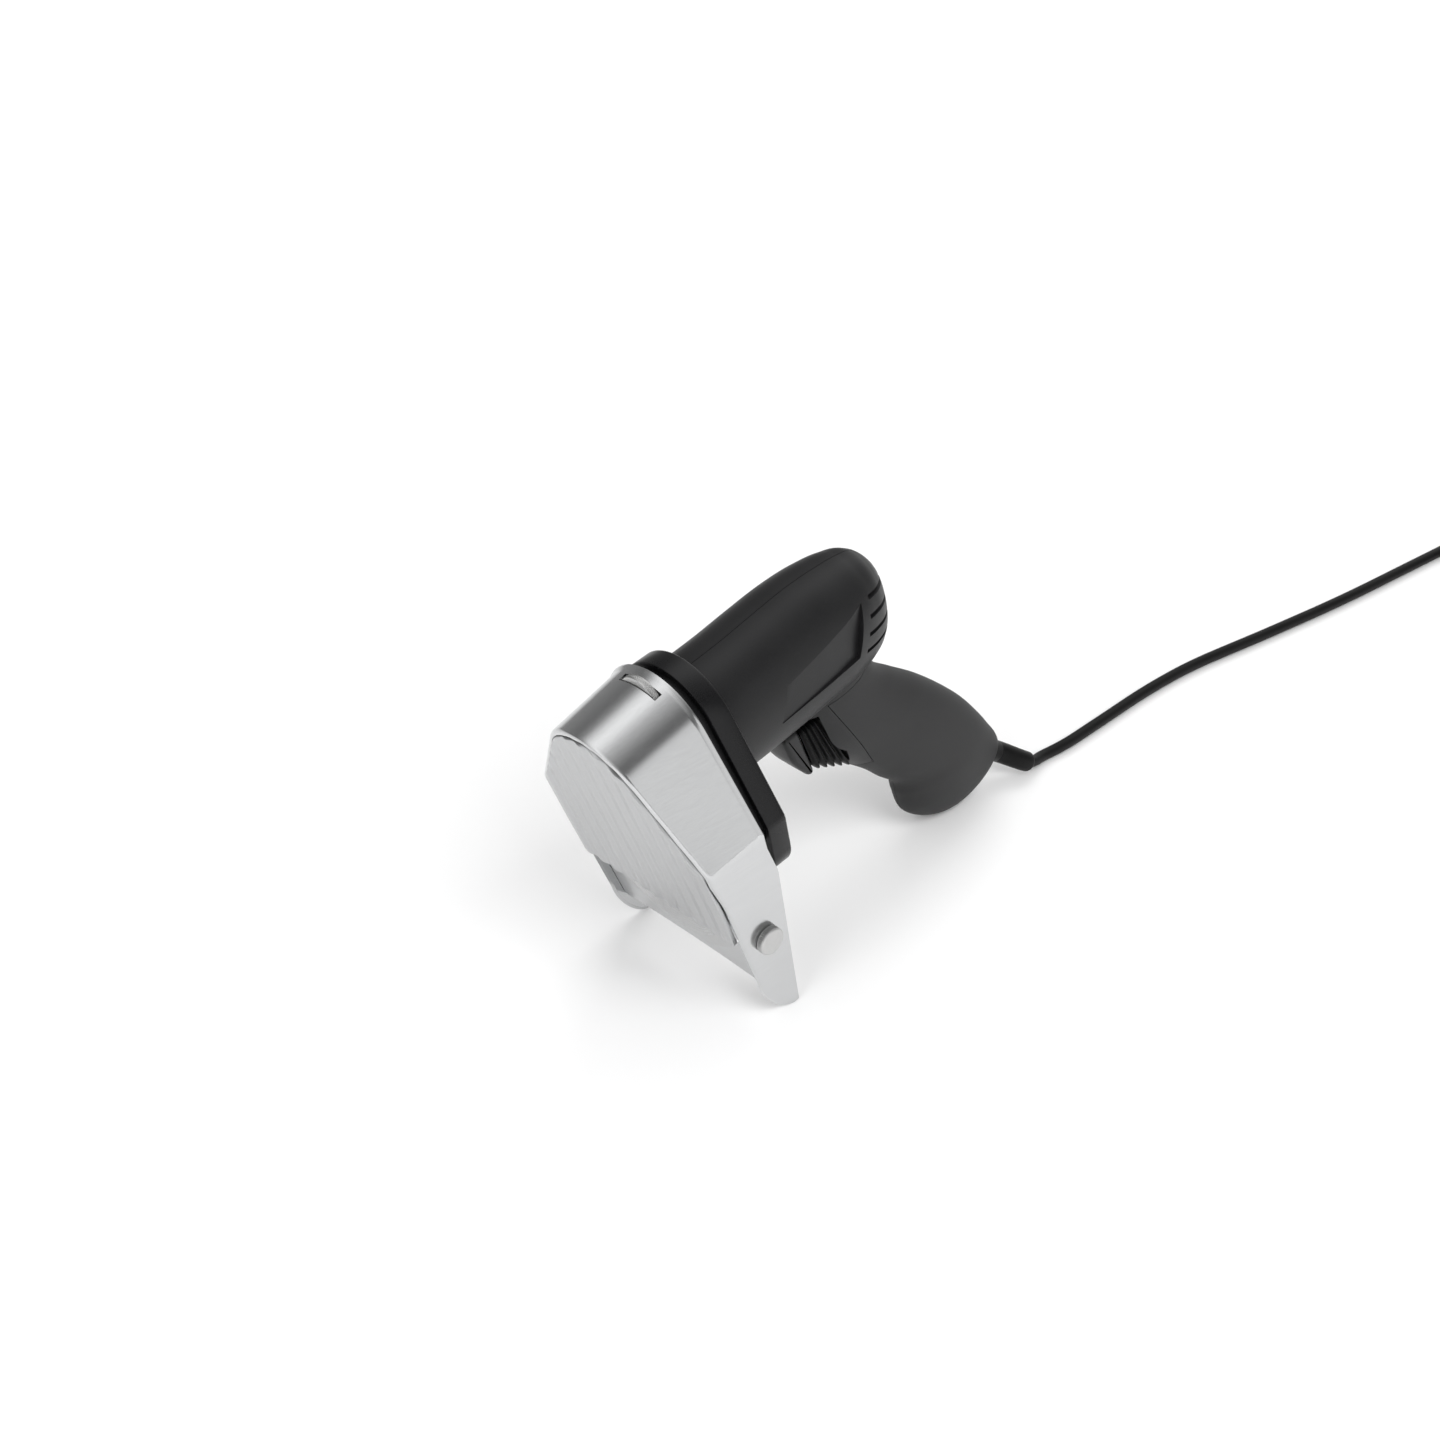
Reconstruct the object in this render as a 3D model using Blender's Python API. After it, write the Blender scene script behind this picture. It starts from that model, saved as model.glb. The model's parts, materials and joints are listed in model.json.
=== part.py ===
"""Electric kebab knife: a pistol grip slicer with a round blade in a stainless head.

The tool is modelled in its own frame: +X runs forward along the motor barrel, +Y to the side
and +Z up, with the origin on the head's rear rim, at the centre of its top arc. The whole
tool then hangs under one empty that tips it nose down, so that it stands on the two feet of
its head and on the butt of its grip, as it is put down on a table.
"""
import bpy
import bmesh
import numpy as np
from math import pi, sin, cos, tan, atan2, acos, asin, sqrt, radians
from mathutils import Matrix, Vector

for old in list(bpy.data.objects):
    bpy.data.objects.remove(old, do_unlink=True)

# Fits
GAP = 0.0003                # between faces that touch on the real tool
RUN = 0.0003                # radial clearance of what turns or slides
OVERRUN = 0.004             # how far a cutter runs past what it cuts
FLATNESS = radians(0.02)    # faces more bent than this are divided
SMOOTH_ANGLE = radians(35)
SMALLEST_STEP = 1e-5        # closer corners of an outline are merged

# Head: the face plane leans back towards the feet
FACE_TILT = radians(10.3)
FACE_REACH = 0.0393         # face plane ahead of the rim, at the height of the top arc
SHEET = 0.0015              # stainless sheet
SHELL_SETBACK = 0.0006      # front of the hood behind the face of the ribbed plate
LEG_SETBACK = 0.0024        # front edge of the legs behind the same face
RIM_RADIUS = 0.0338
FACE_RADIUS = 0.0335
FACE_ARC_DROP = 0.0066      # centre of the face's top arc below the rim's
BEND_HALF = 0.0560          # half width where the walls bend down into the legs
RIM_BEND_DROP = 0.0300
FACE_BEND_DROP = 0.0324
BEND_RADIUS = 0.0070
FOOT_HALF = 0.0518
FOOT_DROP = 0.1426
LEG_STEP = 0.0050           # rear edge of the legs behind the rim
LEG_STEP_TOP = 0.0360
LEG_STEP_END = 0.0560
TOE_START = 0.1160          # where the front edge of a leg starts to round back
TOE_SHARES = (0.25, 0.45, 0.62, 0.76, 0.88, 1.0)
LEG_DROPS = (0.0390, 0.0450, 0.0560, 0.0760, 0.0960, TOE_START)
FOOT_LENGTH = 0.0040
TOE_POWER = 1.6
FRONT_BEND = 0.0024         # outer radius where the wall turns into the face
LEG_BEND = 0.0017
BEND_ANGLES = (35, 62)      # degrees round that bend
RIM_LIP = 0.0011
RIM_LIP_LENGTH = 0.0020
LIP_END_SHARE = 1.6
EDGE_ROUND = 0.0009
ARC_STEPS = 6
BEND_STEPS = 3

# Slot and thumbwheel that set the slice
SLICE_AT_REST = 0.0030
SLICE_LEAST = 0.0003
SLICE_MAX = 0.0080
WHEEL_PLACE = 0.0072        # middle of the wheel ahead of the rim
WHEEL_WIDTH = 0.0034
WHEEL_RADIUS = 0.0130
WHEEL_RISE = 0.0226         # wheel axis above the origin
SLOT_HALF = 0.0118
SLOT_SIDE_GAP = 0.0004
STUD_RADIUS = 0.0030
STUD_FRONT = 0.0200
STUD_REAR = -0.0125

# Ribbed plate in front of the blade
PLATE_CLEAR = 0.0004
PLATE_THICK = 0.0022
PLATE_DROP = 0.0845
RIB_COUNT = 11
RIB_HEIGHT = 0.0007
RIB_POINTS = 4              # columns in one rib
POST_RADIUS = 0.0030
POST_SPREAD = 0.0160
POST_DROP = -0.0040
POST_DEPTH = 0.0024

# Blade and spindle
BLADE_RADIUS = 0.0500
BLADE_DROP = 0.0684
BLADE_FRONT = 0.0042        # behind the face plane
BLADE_THICK = 0.0018
BLADE_EDGE = 0.0003
BEVEL_WIDTH = 0.0085
BLADE_BORE = 0.0050
HUB_RADIUS = 0.0120
HUB_THICK = 0.0026
SPINDLE_RADIUS = 0.0050
SCREW_HEAD_RADIUS = 0.0085
SCREW_HEAD_THICK = 0.0011
SCREW_SHANK_RADIUS = 0.0026
SCREW_SHANK_LENGTH = 0.0120
SPINDLE_TAIL = 0.0062

# Guide bar between the legs
BAR_CLEAR = 0.0010          # radial gap to the blade's edge
BAR_DROP = 0.1268
BAR_ARCH = 0.0012
BAR_HORN_DROP = 0.0940
TAB_TOP = BAR_HORN_DROP - 0.0140
TAB_BOTTOM = BAR_HORN_DROP + 0.0100
TAB_REAR = -0.0030
BAR_THICK = 0.0022
TAB_THICK = 0.0024
BAR_STEPS = 24

# Thumb screws through the legs
KNOB_RADIUS = 0.0069
KNOB_THICK = 0.0040
KNOB_SHANK_RADIUS = 0.0024
KNOB_DROP = BAR_HORN_DROP - 0.0044
KNOB_X = 0.0078
KNOB_SIDES = 20
KNOB_TAIL = 0.0020
KNOB_LIP = 0.0006

# Motor line and gear train
MOTOR_DROP = 0.0062         # motor axis below the origin
PINION_TEETH = 12
IDLER_TEETH = 26
SPINDLE_TEETH = 14
GEAR_BACK = 0.0212          # rear of the gears behind the face plane
GEAR_AIR = 0.0008
CASE_BACK = 0.0330
GEAR_FACE = 0.0058
BACKLASH = 0.00032
PRESSURE_ANGLE = radians(20)
ADDENDUM_SHARE = 0.85
DEDENDUM_SHARE = 1.2
AXLE_RADIUS = 0.0035
AXLE_SEAT = 0.0050
AXLE_FRONT = 0.0020
BUSH_WALL = 0.0024
COVER_FRONT = 0.0094        # front of the gear cover behind the face plane
COVER_THICK = 0.0032
CASE_WALL = 0.0025

# Collar between barrel and head
COLLAR_REAR = 0.0166        # rear face behind the rim
COLLAR_STEP = 0.0055        # front of the flange behind the rim
COLLAR_NOSE = 0.0050        # front of the nose ahead of the rim
COLLAR_RADIUS = 0.0322
COLLAR_HALF = 0.0531
COLLAR_BEND_DROP = 0.0330
COLLAR_FOOT = 0.0640
COLLAR_CORNER = 0.0130
COLLAR_NOSE_INSET = 0.0036
COLLAR_NOSE_FOOT = 0.0420

# Motor
CAN_RADIUS = 0.0220
CAN_FRONT = -0.0190
CAN_LENGTH = 0.0580
CAN_WALL = 0.0015
MAGNET_THICK = 0.0035
MAGNET_LENGTH = 0.0340
CORE_RADIUS = 0.0163
CORE_LENGTH = 0.0300
SHAFT_RADIUS = 0.0025
SHAFT_AIR = 0.0008
BEARING_RADIUS = 0.0080
BEARING_WIDTH = 0.0050
COMMUTATOR_RADIUS = 0.0075
COMMUTATOR_LENGTH = 0.0090
CAP_LENGTH = 0.0057
FAN_RADIUS = 0.0200
FAN_WIDTH = 0.0080
FAN_BLADES = 7
FAN_BLADE_THICK = 0.0012
FAN_HUB_RADIUS = 0.0065
FAN_AIR = 0.0020
MOUNT_WIDTH = 0.0060
BAY_RADIUS = 0.0246
BAY_REAR = CAN_FRONT - CAN_LENGTH - 0.0070
FAN_BAY_RADIUS = 0.0220

# Barrel of the housing, from the collar to the rear dome. Shares of BARREL_LENGTH behind the
# collar, then top, bottom and half width as shares of BARREL_RADIUS.
BARREL_LENGTH = 0.1150
BARREL_FRONT = -COLLAR_REAR - GAP
BARREL_RADIUS = 0.0330
BARREL_SHARES = (
    (0.000, 0.730, -1.135, 0.880),
    (0.200, 0.765, -1.125, 0.870),
    (0.380, 0.825, -1.100, 0.865),
    (0.550, 0.870, -1.065, 0.850),
    (0.720, 0.855, -1.020, 0.805),
    (0.830, 0.815, -0.975, 0.705),
    (0.905, 0.740, -0.915, 0.575),
    (0.955, 0.580, -0.815, 0.425),
    (0.985, 0.365, -0.660, 0.265),
    (1.000, 0.085, -0.420, 0.110))
BARREL_SIDES = 20
BARREL_POWER = 2.2
FAN_BAY_SHARE = 0.80
FAN_BAY_REAR = BARREL_FRONT - BARREL_LENGTH * FAN_BAY_SHARE

# Grip: back edge and front edge of each station, then half thickness, as shares of GRIP_SPAN
GRIP_SPAN = 0.1600
GRIP_ROOT_X = -0.0900       # station places are measured from here
GRIP_ROOT_Z = -0.0300
GRIP_SHARES = (
    (-0.150, 0.061, 0.175, 0.015, 0.096),
    (-0.210, -0.072, 0.147, -0.105, 0.098),
    (-0.291, -0.154, 0.114, -0.228, 0.099),
    (-0.386, -0.244, -0.025, -0.348, 0.100),
    (-0.479, -0.348, -0.117, -0.443, 0.103),
    (-0.561, -0.454, -0.175, -0.518, 0.104),
    (-0.626, -0.560, -0.231, -0.583, 0.103),
    (-0.665, -0.634, -0.239, -0.642, 0.100),
    (-0.696, -0.695, -0.259, -0.728, 0.089),
    (-0.706, -0.743, -0.334, -0.805, 0.073),
    (-0.684, -0.777, -0.425, -0.852, 0.051),
    (-0.640, -0.786, -0.495, -0.858, 0.026))
GRIP_SIDES = 16
GRIP_POWER = 2.0
COVER_SKIN = 0.0024         # rubber over the grip core

# Edge of the rubber cover on the side of the tool
SEAM_CORNER_X = -0.0814
SEAM_CORNER_Z = -0.0343
SEAM_FOOT_X = -0.1074
SEAM_FOOT_Z = -0.0900
SEAM_REAR_X = -0.1050
SEAM_REAR_Z = -0.0335

# Flat panel on each side of the barrel. Its ends lean: the crease at its top lies behind its foot.
PANEL_SHARES = (0.227, 0.677)
PANEL_FRONT_X = BARREL_FRONT - BARREL_LENGTH * PANEL_SHARES[0]
PANEL_REAR_X = BARREL_FRONT - BARREL_LENGTH * PANEL_SHARES[1]
PANEL_FRONT_LEAN = 0.0068
PANEL_REAR_LEAN = 0.0095
PANEL_LOW_FRONT_Z = -0.0111
PANEL_LOW_REAR_Z = -0.0087
PANEL_TOP_FRONT_Z = 0.0052
PANEL_TOP_REAR_Z = 0.0146
PANEL_DEPTH = 0.0016
PANEL_FADE_SHARE = 0.2      # of that depth, at the front end
PANEL_STEPS = 4

# Vents round the rear dome, falling towards the rear. They start beside the panel's rear edge.
VENT_COUNT = 4
VENT_TOP_Z = 0.0136
VENT_PITCH = 0.0076
VENT_HEIGHT = 0.0021
VENT_AIR = 0.0060
VENT_FALL = radians(10.8)
VENT_MIDRIB = 0.0070

# Trigger, which slides back and up under the barrel
TRIGGER_HALF = 0.0095
TRIGGER_TRAVEL = 0.0050
TRIGGER_SLOPE = radians(149)
TRIGGER_X = -0.0565
TRIGGER_Z = -0.0415
TRIGGER_HEIGHT = 0.0320
TRIGGER_SHARES = ((0.00, 0.00), (-0.03, -0.20), (-0.11, -0.53), (-0.21, -0.72), (-0.38, -0.97),
                  (-0.49, -0.935), (-0.405, -0.53), (-0.30, 0.00))
TRIGGER_ROUND = 0.0026
TRIGGER_EDGE_ANGLE = radians(60)
BELLOWS_FOLDS = 5
BELLOWS_HALF = 0.0105
BELLOWS_FOLD_DEPTH = 0.0017
BELLOWS_WALL = 0.0020
BELLOWS_CORNER_SHARE = 0.33
BELLOWS_TOP_Z = -0.0430
BELLOWS_FOOT_Z = -0.0830
BELLOWS_REAR_X = -0.0800
BELLOWS_REAR_FOOT_X = -0.0950
PLUNGER_RADIUS = 0.0030
PLUNGER_X = -0.0700
PLUNGER_Z = -0.0600
PLUNGER_LENGTH = 0.0260

# Screws that join the two halves: places along X and Z
BOSS_SCREW_RADIUS = 0.0015
BOSS_HEAD_RADIUS = 0.0030
BOSS_HEAD_THICK = 0.0022
BOSS_HEAD_SEAT = 0.0100
BOSS_REACH = 0.0090
BOSS_PLACES = (
    (-0.1215, -0.0180),
    (-0.1065, -0.0525),
    (-0.1420, -0.0960),
    (-0.1760, -0.1340))

# Strain relief, cord and plug
RELIEF_RADIUS = 0.0060
RELIEF_TIP_RADIUS = 0.0054
RELIEF_BEND_Y = 0.0110
RELIEF_STRAIGHT_SHARE = 0.25
RELIEF_X = -0.1975
RELIEF_Z = -0.1530
RELIEF_RUN_X = -0.0172
RELIEF_RUN_Z = -0.0150
RELIEF_ROOT = 0.0120
RELIEF_STEPS = 8
CORD_RADIUS = 0.0031

CORD_SPACING = 0.0150
PLUG_HALF = 0.0135
PLUG_LENGTH = 0.0340
PLUG_SHOULDER_SHARE = 0.25
PLUG_NECK_RADIUS = 0.0052
PLUG_NECK_LENGTH = 0.0200
PIN_RADIUS = 0.0024
PIN_LENGTH = 0.0190
PIN_SPREAD = 0.0095
PIN_ROOT = 0.0060

# Route of the cord on the floor, seen from above, between the strain relief and the coil
CORD_ROUTE = (
    (-0.1550, 0.0106),
    (-0.1718, 0.0124),
    (-0.1922, 0.0125),
    (-0.2134, 0.0123),
    (-0.2351, 0.0121),
    (-0.2559, 0.0128),
    (-0.2760, 0.0145),
    (-0.2947, 0.0174),
    (-0.3389, 0.0260),
    (-0.4000, 0.0365),
    (-0.4650, 0.0448))

# Coil of the rest of the cord, two layers that wind in and out again
COIL_ACROSS = 0.0740        # mid-turn diameter
COIL_TURNS = 3              # in each layer
COIL_STEP = 0.0071          # between neighbouring turns
COIL_CLIMB = 0.0068         # between the layers
COIL_POINTS = 24
COIL_X = -0.5320
COIL_Y = 0.1010
COIL_START = radians(-97)
COIL_TAIL_SHARE = 4.0       # straight end towards the plug, in cord diameters

# Where the stand puts the tool, worked out below from the feet and the grip
STAND = bpy.data.objects.new("stand", None)
bpy.context.collection.objects.link(STAND)

UNIT = Matrix.Identity(4)


def axes_matrix(origin, axis_x, axis_y, axis_z):
    rows = Matrix((axis_x, axis_y, axis_z)).transposed().to_4x4()
    return Matrix.Translation(Vector(origin)) @ rows


NORMAL = Vector((cos(FACE_TILT), 0, -sin(FACE_TILT)))
UPWARD = Vector((sin(FACE_TILT), 0, cos(FACE_TILT)))
SIDEWAYS = Vector((0, 1, 0))
FORWARD = Vector((1, 0, 0))
VERTICAL = Vector((0, 0, 1))
# Face frame: x to the side, y up the face, z out of the face
FACE = axes_matrix((FACE_REACH, 0, 0), SIDEWAYS, UPWARD, NORMAL)
# Motor frame: z forward along the motor axis
MOTOR = axes_matrix((0, 0, -MOTOR_DROP), SIDEWAYS, VERTICAL, FORWARD)


def material(name, colour, roughness, metallic=0):
    made = bpy.data.materials.new(name)
    made.use_nodes = True
    shader = made.node_tree.nodes["Principled BSDF"]
    shader.inputs["Base Color"].default_value = (*colour, 1)
    shader.inputs["Roughness"].default_value = roughness
    shader.inputs["Metallic"].default_value = metallic
    made.diffuse_color = (*colour, 1)
    return made


STEEL = material("brushed steel", (0.62, 0.62, 0.61), 0.28, 1)
BLADE_STEEL = material("ground steel", (0.58, 0.58, 0.58), 0.2, 1)
NICKEL = material("nickel", (0.60, 0.57, 0.53), 0.3, 1)
PLASTIC = material("black plastic", (0.035, 0.035, 0.037), 0.45)
GLOSSY = material("collar plastic", (0.022, 0.022, 0.024), 0.3)
SOFT = material("soft grip", (0.05, 0.05, 0.052), 0.6)
RUBBER = material("rubber", (0.008, 0.008, 0.008), 0.5)
BRASS = material("brass", (0.6, 0.42, 0.16), 0.35, 1)
CAN_STEEL = material("zinc plate", (0.4, 0.4, 0.4), 0.4, 1)
CAST = material("cast aluminium", (0.5, 0.5, 0.5), 0.5, 1)
COPPER = material("copper", (0.6, 0.25, 0.12), 0.35, 1)
NYLON = material("gear nylon", (0.75, 0.72, 0.65), 0.5)


def solid(name, points, faces, finish=None, place=UNIT, parent=STAND):
    """One closed mesh object with its faces pointing out."""
    mesh = bpy.data.meshes.new(name)
    mesh.from_pydata([tuple(p) for p in points], [], faces)
    work = bmesh.new()
    work.from_mesh(mesh)
    bmesh.ops.connect_verts_nonplanar(work, angle_limit=FLATNESS, faces=work.faces[:])
    bmesh.ops.recalc_face_normals(work, faces=work.faces)
    if work.calc_volume(signed=True) < 0:
        bmesh.ops.reverse_faces(work, faces=work.faces)
    work.to_mesh(mesh)
    work.free()
    made = bpy.data.objects.new(name, mesh)
    bpy.context.collection.objects.link(made)
    made.parent = parent
    made.matrix_local = place
    if finish:
        mesh.materials.append(finish)
        mesh.shade_smooth()
        mesh.set_sharp_from_angle(angle=SMOOTH_ANGLE)
    else:
        made.hide_render = True
        made.display_type = "WIRE"
    return made


def cut(target, *tools, operation="DIFFERENCE", solver="EXACT"):
    for tool in tools:
        step = target.modifiers.new(tool.name, "BOOLEAN")
        step.operation = operation
        step.solver = solver
        step.object = tool


def skin(rings, wrap=False, split=False):
    """Faces between rings of equal count, capped at both ends unless the rings wrap round.

    Split rings get triangles with the same diagonals, so that a skin and its inset never touch.
    """
    count = len(rings[0])
    points = [p for ring in rings for p in ring]
    faces = []
    spans = len(rings) if wrap else len(rings) - 1
    for i in range(spans):
        for j in range(count):
            a = i * count + j
            b = i * count + (j + 1) % count
            c = ((i + 1) % len(rings)) * count
            quad = (a, b, c + (j + 1) % count, c + j)
            faces += [quad[:3], (quad[2], quad[3], quad[0])] if split else [quad]
    if not wrap:
        faces.append(tuple(range(count)))
        faces.append(tuple(range(len(points) - count, len(points))))
    return points, faces


def prism(outline, low, high):
    rings = [[(x, y, z) for x, y in outline] for z in (low, high)]
    return skin(rings)


def turned(profile, sides=32):
    """Profile of (radius, height) turned round z: it starts and ends on the axis, or is a loop."""
    on_axis = profile[0][0] == 0
    body = profile[1:-1] if on_axis else profile
    rings = []
    for radius, height in body:
        ring = []
        for k in range(sides):
            angle = 2 * pi * (k + 0.5) / sides
            ring.append((radius * cos(angle), radius * sin(angle), height))
        rings.append(ring)
    return skin(rings, wrap=not on_axis)


def tube_profile(inner, outer, low, high):
    return ((inner, low), (outer, low), (outer, high), (inner, high))


def rod_profile(radius, low, high):
    return ((0, low), (radius, low), (radius, high), (0, high))


def box(low, high):
    corners = ((low[0], low[1]), (high[0], low[1]), (high[0], high[1]), (low[0], high[1]))
    return prism(corners, low[2], high[2])


def hull(circles, steps=6):
    """Outline round circles (centre height, radius) that stand on the y axis, top one first."""
    right = []
    for i, (height, radius) in enumerate(circles):
        start = pi / 2
        end = -pi / 2
        if i > 0:
            start = asin((radius - circles[i - 1][1]) / (circles[i - 1][0] - height))
        if i + 1 < len(circles):
            end = asin((circles[i + 1][1] - radius) / (height - circles[i + 1][0]))
        for k in range(steps + 1):
            angle = start + (end - start) * k / steps
            right.append((radius * cos(angle), height + radius * sin(angle)))
    left = [(-x, y) for x, y in reversed(right)]
    return tidy(right + left)


def tidy(outline, least=SMALLEST_STEP):
    kept = []
    for point in outline:
        if not kept or sqrt((point[0] - kept[-1][0]) ** 2 + (point[1] - kept[-1][1]) ** 2) > least:
            kept.append(point)
    if sqrt((kept[0][0] - kept[-1][0]) ** 2 + (kept[0][1] - kept[-1][1]) ** 2) <= least:
        kept.pop()
    return kept


# Outline of the head: half of it, from the top centre down to the foot

def half_outline(radius, arc_drop, bend_drop, inset, foot_drops):
    """Points (side, up) and outward normals: top arc, slanted wall, bend and leg."""
    bend = Vector((BEND_HALF, -bend_drop))
    centre = Vector((0, -arc_drop))
    reach = bend - centre
    turn = atan2(reach.x, reach.y) - acos(radius / reach.length)
    rows = []
    for k in range(ARC_STEPS + 1):
        angle = turn * k / ARC_STEPS
        normal = Vector((sin(angle), cos(angle)))
        rows.append((centre + normal * (radius - inset), normal))
    slant = Vector((sin(turn), cos(turn)))
    lean = atan2(BEND_HALF - FOOT_HALF, FOOT_DROP - RIM_BEND_DROP)
    leg = Vector((cos(lean), -sin(lean)))
    rows.append((rows[-1][0].lerp(bend - slant * inset, 0.5), slant))
    corner = meet(bend, slant, leg, inset)
    swing = slant.angle(leg)
    round_radius = BEND_RADIUS - inset
    heart = corner - (slant + leg) * (round_radius / (1 + slant.dot(leg)))
    for k in range(BEND_STEPS + 1):
        share = k / BEND_STEPS
        normal = (slant * sin((1 - share) * swing) + leg * sin(share * swing)) / sin(swing)
        rows.append((heart + normal * round_radius, normal))
    for drop in foot_drops:
        side = corner.x - (drop + corner.y) * tan(lean)
        rows.append((Vector((side, -drop)), leg))
    return rows


def meet(corner, first, second, inset):
    """Where two lines through the corner meet once both are moved in by the inset."""
    return corner - (first + second) * (inset / (1 + first.dot(second)))


def toe_drops():
    return [TOE_START + (FOOT_DROP - TOE_START) * share for share in TOE_SHARES]


def edge_x(drop):
    """Front edge of a leg at a height: along the face plane, then rounded back to the foot."""
    blend = max(0, min(1, (drop - LEG_DROPS[0]) / (LEG_STEP_END - LEG_DROPS[0])))
    setback = SHELL_SETBACK + (LEG_SETBACK - SHELL_SETBACK) * blend
    straight = FACE_REACH - min(drop, TOE_START) * tan(FACE_TILT) - setback / cos(FACE_TILT)
    if drop <= TOE_START:
        return straight
    toe = FOOT_LENGTH - LEG_STEP
    share = min(1, (drop - TOE_START) / (FOOT_DROP - TOE_START))
    return toe + (straight - toe) * (1 - share ** TOE_POWER) ** (1 / TOE_POWER)


def rear_x(drop):
    share = (drop - LEG_STEP_TOP) / (LEG_STEP_END - LEG_STEP_TOP)
    return -LEG_STEP * max(0, min(1, share))


def leg_inner(drop):
    """Inner face of a leg at a height below the origin."""
    lean = (BEND_HALF - FOOT_HALF) / (FOOT_DROP - RIM_BEND_DROP)
    return BEND_HALF - (drop - RIM_BEND_DROP) * lean - SHEET


def shell_stations():
    """Rear point, front point, both outward normals and the bend radius round half the hood."""
    drops = list(LEG_DROPS) + toe_drops()
    rims = half_outline(RIM_RADIUS, 0, RIM_BEND_DROP, 0, drops)
    faces = half_outline(FACE_RADIUS, FACE_ARC_DROP, FACE_BEND_DROP, 0, drops)
    upper = len(rims) - len(drops)
    rows = []
    for i, ((rim, out), (face, spread)) in enumerate(zip(rims, faces)):
        drop = -rim.y
        rear = Vector((rear_x(drop) if i >= upper else 0, rim.x, rim.y))
        out_rear = Vector((0, out.x, out.y))
        if i < upper:
            front = FACE @ Vector((face.x, face.y, -SHELL_SETBACK))
            out_front = SIDEWAYS * spread.x + UPWARD * spread.y
            ahead = NORMAL
        else:
            front = Vector((edge_x(drop), rim.x, rim.y))
            out_front = out_rear
            ahead = FORWARD
        share = max(0, min(1, (i - upper) / 2 + 1)) if i >= upper - 1 else 0
        radius = FRONT_BEND + (LEG_BEND - FRONT_BEND) * share
        lip = RIM_LIP * (1 - share)
        rows.append((rear, front, out_rear, out_front, ahead, radius, lip))
    return rows


def shell_section(rear, front, out_rear, out_front, ahead, radius, lip):
    run = (front - rear).normalized()
    start = front - run * radius
    middle = front - ahead * radius
    points = [rear - out_rear * SHEET, rear + out_rear * lip]
    points.append(rear + FORWARD * RIM_LIP_LENGTH + out_rear * lip)
    points.append(rear + run * RIM_LIP_LENGTH * LIP_END_SHARE)
    points.append(start)
    for degrees in BEND_ANGLES:
        angle = radians(degrees)
        points.append(middle + ahead * radius * sin(angle) - out_front * radius * (1 - cos(angle)))
    points.append(front - out_front * radius)
    points.append(front - out_front * radius - ahead * SHEET)
    inner = radius - SHEET
    angle = radians(45)
    points.append(middle + ahead * inner * sin(angle) - out_front * (radius - inner * cos(angle)))
    points.append(start - out_front * SHEET)
    return points


def mirrored(ring):
    return [Vector((p.x, -p.y, p.z)) for p in ring]


def build_shell():
    half = [shell_section(*row) for row in shell_stations()]
    rings = [mirrored(ring) for ring in reversed(half[1:])] + half
    shell = solid("head_shell", *skin(rings), STEEL)
    half_slot = WHEEL_WIDTH / 2 + SLOT_SIDE_GAP
    slot = solid("cut_slot", *box(
        (WHEEL_PLACE - half_slot, -SLOT_HALF, WHEEL_RISE),
        (WHEEL_PLACE + half_slot, SLOT_HALF, RIM_RADIUS + OVERRUN)))
    cut(shell, slot, solver="MANIFOLD")
    for side in (-1, 1):
        place = axes_matrix((KNOB_X, 0, -KNOB_DROP), FORWARD, -VERTICAL * side, SIDEWAYS * side)
        reach = BEND_HALF + OVERRUN
        hole = solid("cut_knob", *turned(rod_profile(KNOB_SHANK_RADIUS + RUN, FOOT_HALF / 2, reach), 24),
                     place=place)
        cut(shell, hole, solver="MANIFOLD")
    return shell


def build_bar():
    """Cross plate under the blade, with a tab along the inside of each leg."""
    front = BLADE_FRONT + SLICE_AT_REST
    sweep = BLADE_RADIUS + BAR_CLEAR

    def side_at(drop):
        height = -(drop * cos(FACE_TILT) - front * sin(FACE_TILT))
        return leg_inner(-height) - GAP

    horn = side_at(BAR_HORN_DROP)
    foot = side_at(BAR_DROP)
    inner = sqrt(sweep ** 2 - (BAR_HORN_DROP - BLADE_DROP) ** 2)
    outline = [(-foot, -BAR_DROP - BAR_ARCH), (0, -BAR_DROP + BAR_ARCH), (foot, -BAR_DROP - BAR_ARCH)]
    outline.append((horn, -BAR_HORN_DROP))
    start = atan2(BLADE_DROP - BAR_HORN_DROP, inner)
    for k in range(BAR_STEPS + 1):
        angle = start + (-pi - 2 * start) * k / BAR_STEPS
        outline.append((sweep * cos(angle), -BLADE_DROP + sweep * sin(angle)))
    outline.append((-horn, -BAR_HORN_DROP))
    bar = solid("guide_bar", *prism(tidy(outline), -front - BAR_THICK, -front), STEEL, FACE)
    for side in (-1, 1):
        tab = bar_tab(side, front)
        tool = solid("join_tab", tab[0], tab[1])
        cut(bar, tool, operation="UNION")
    for side in (-1, 1):
        place = axes_matrix((KNOB_X, 0, -KNOB_DROP), FORWARD, -VERTICAL * side, SIDEWAYS * side)
        hole = solid("cut_tab", *turned(rod_profile(KNOB_SHANK_RADIUS + RUN, FOOT_HALF / 2, BEND_HALF), 24),
                     place=place)
        cut(bar, hole)
    return bar


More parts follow.
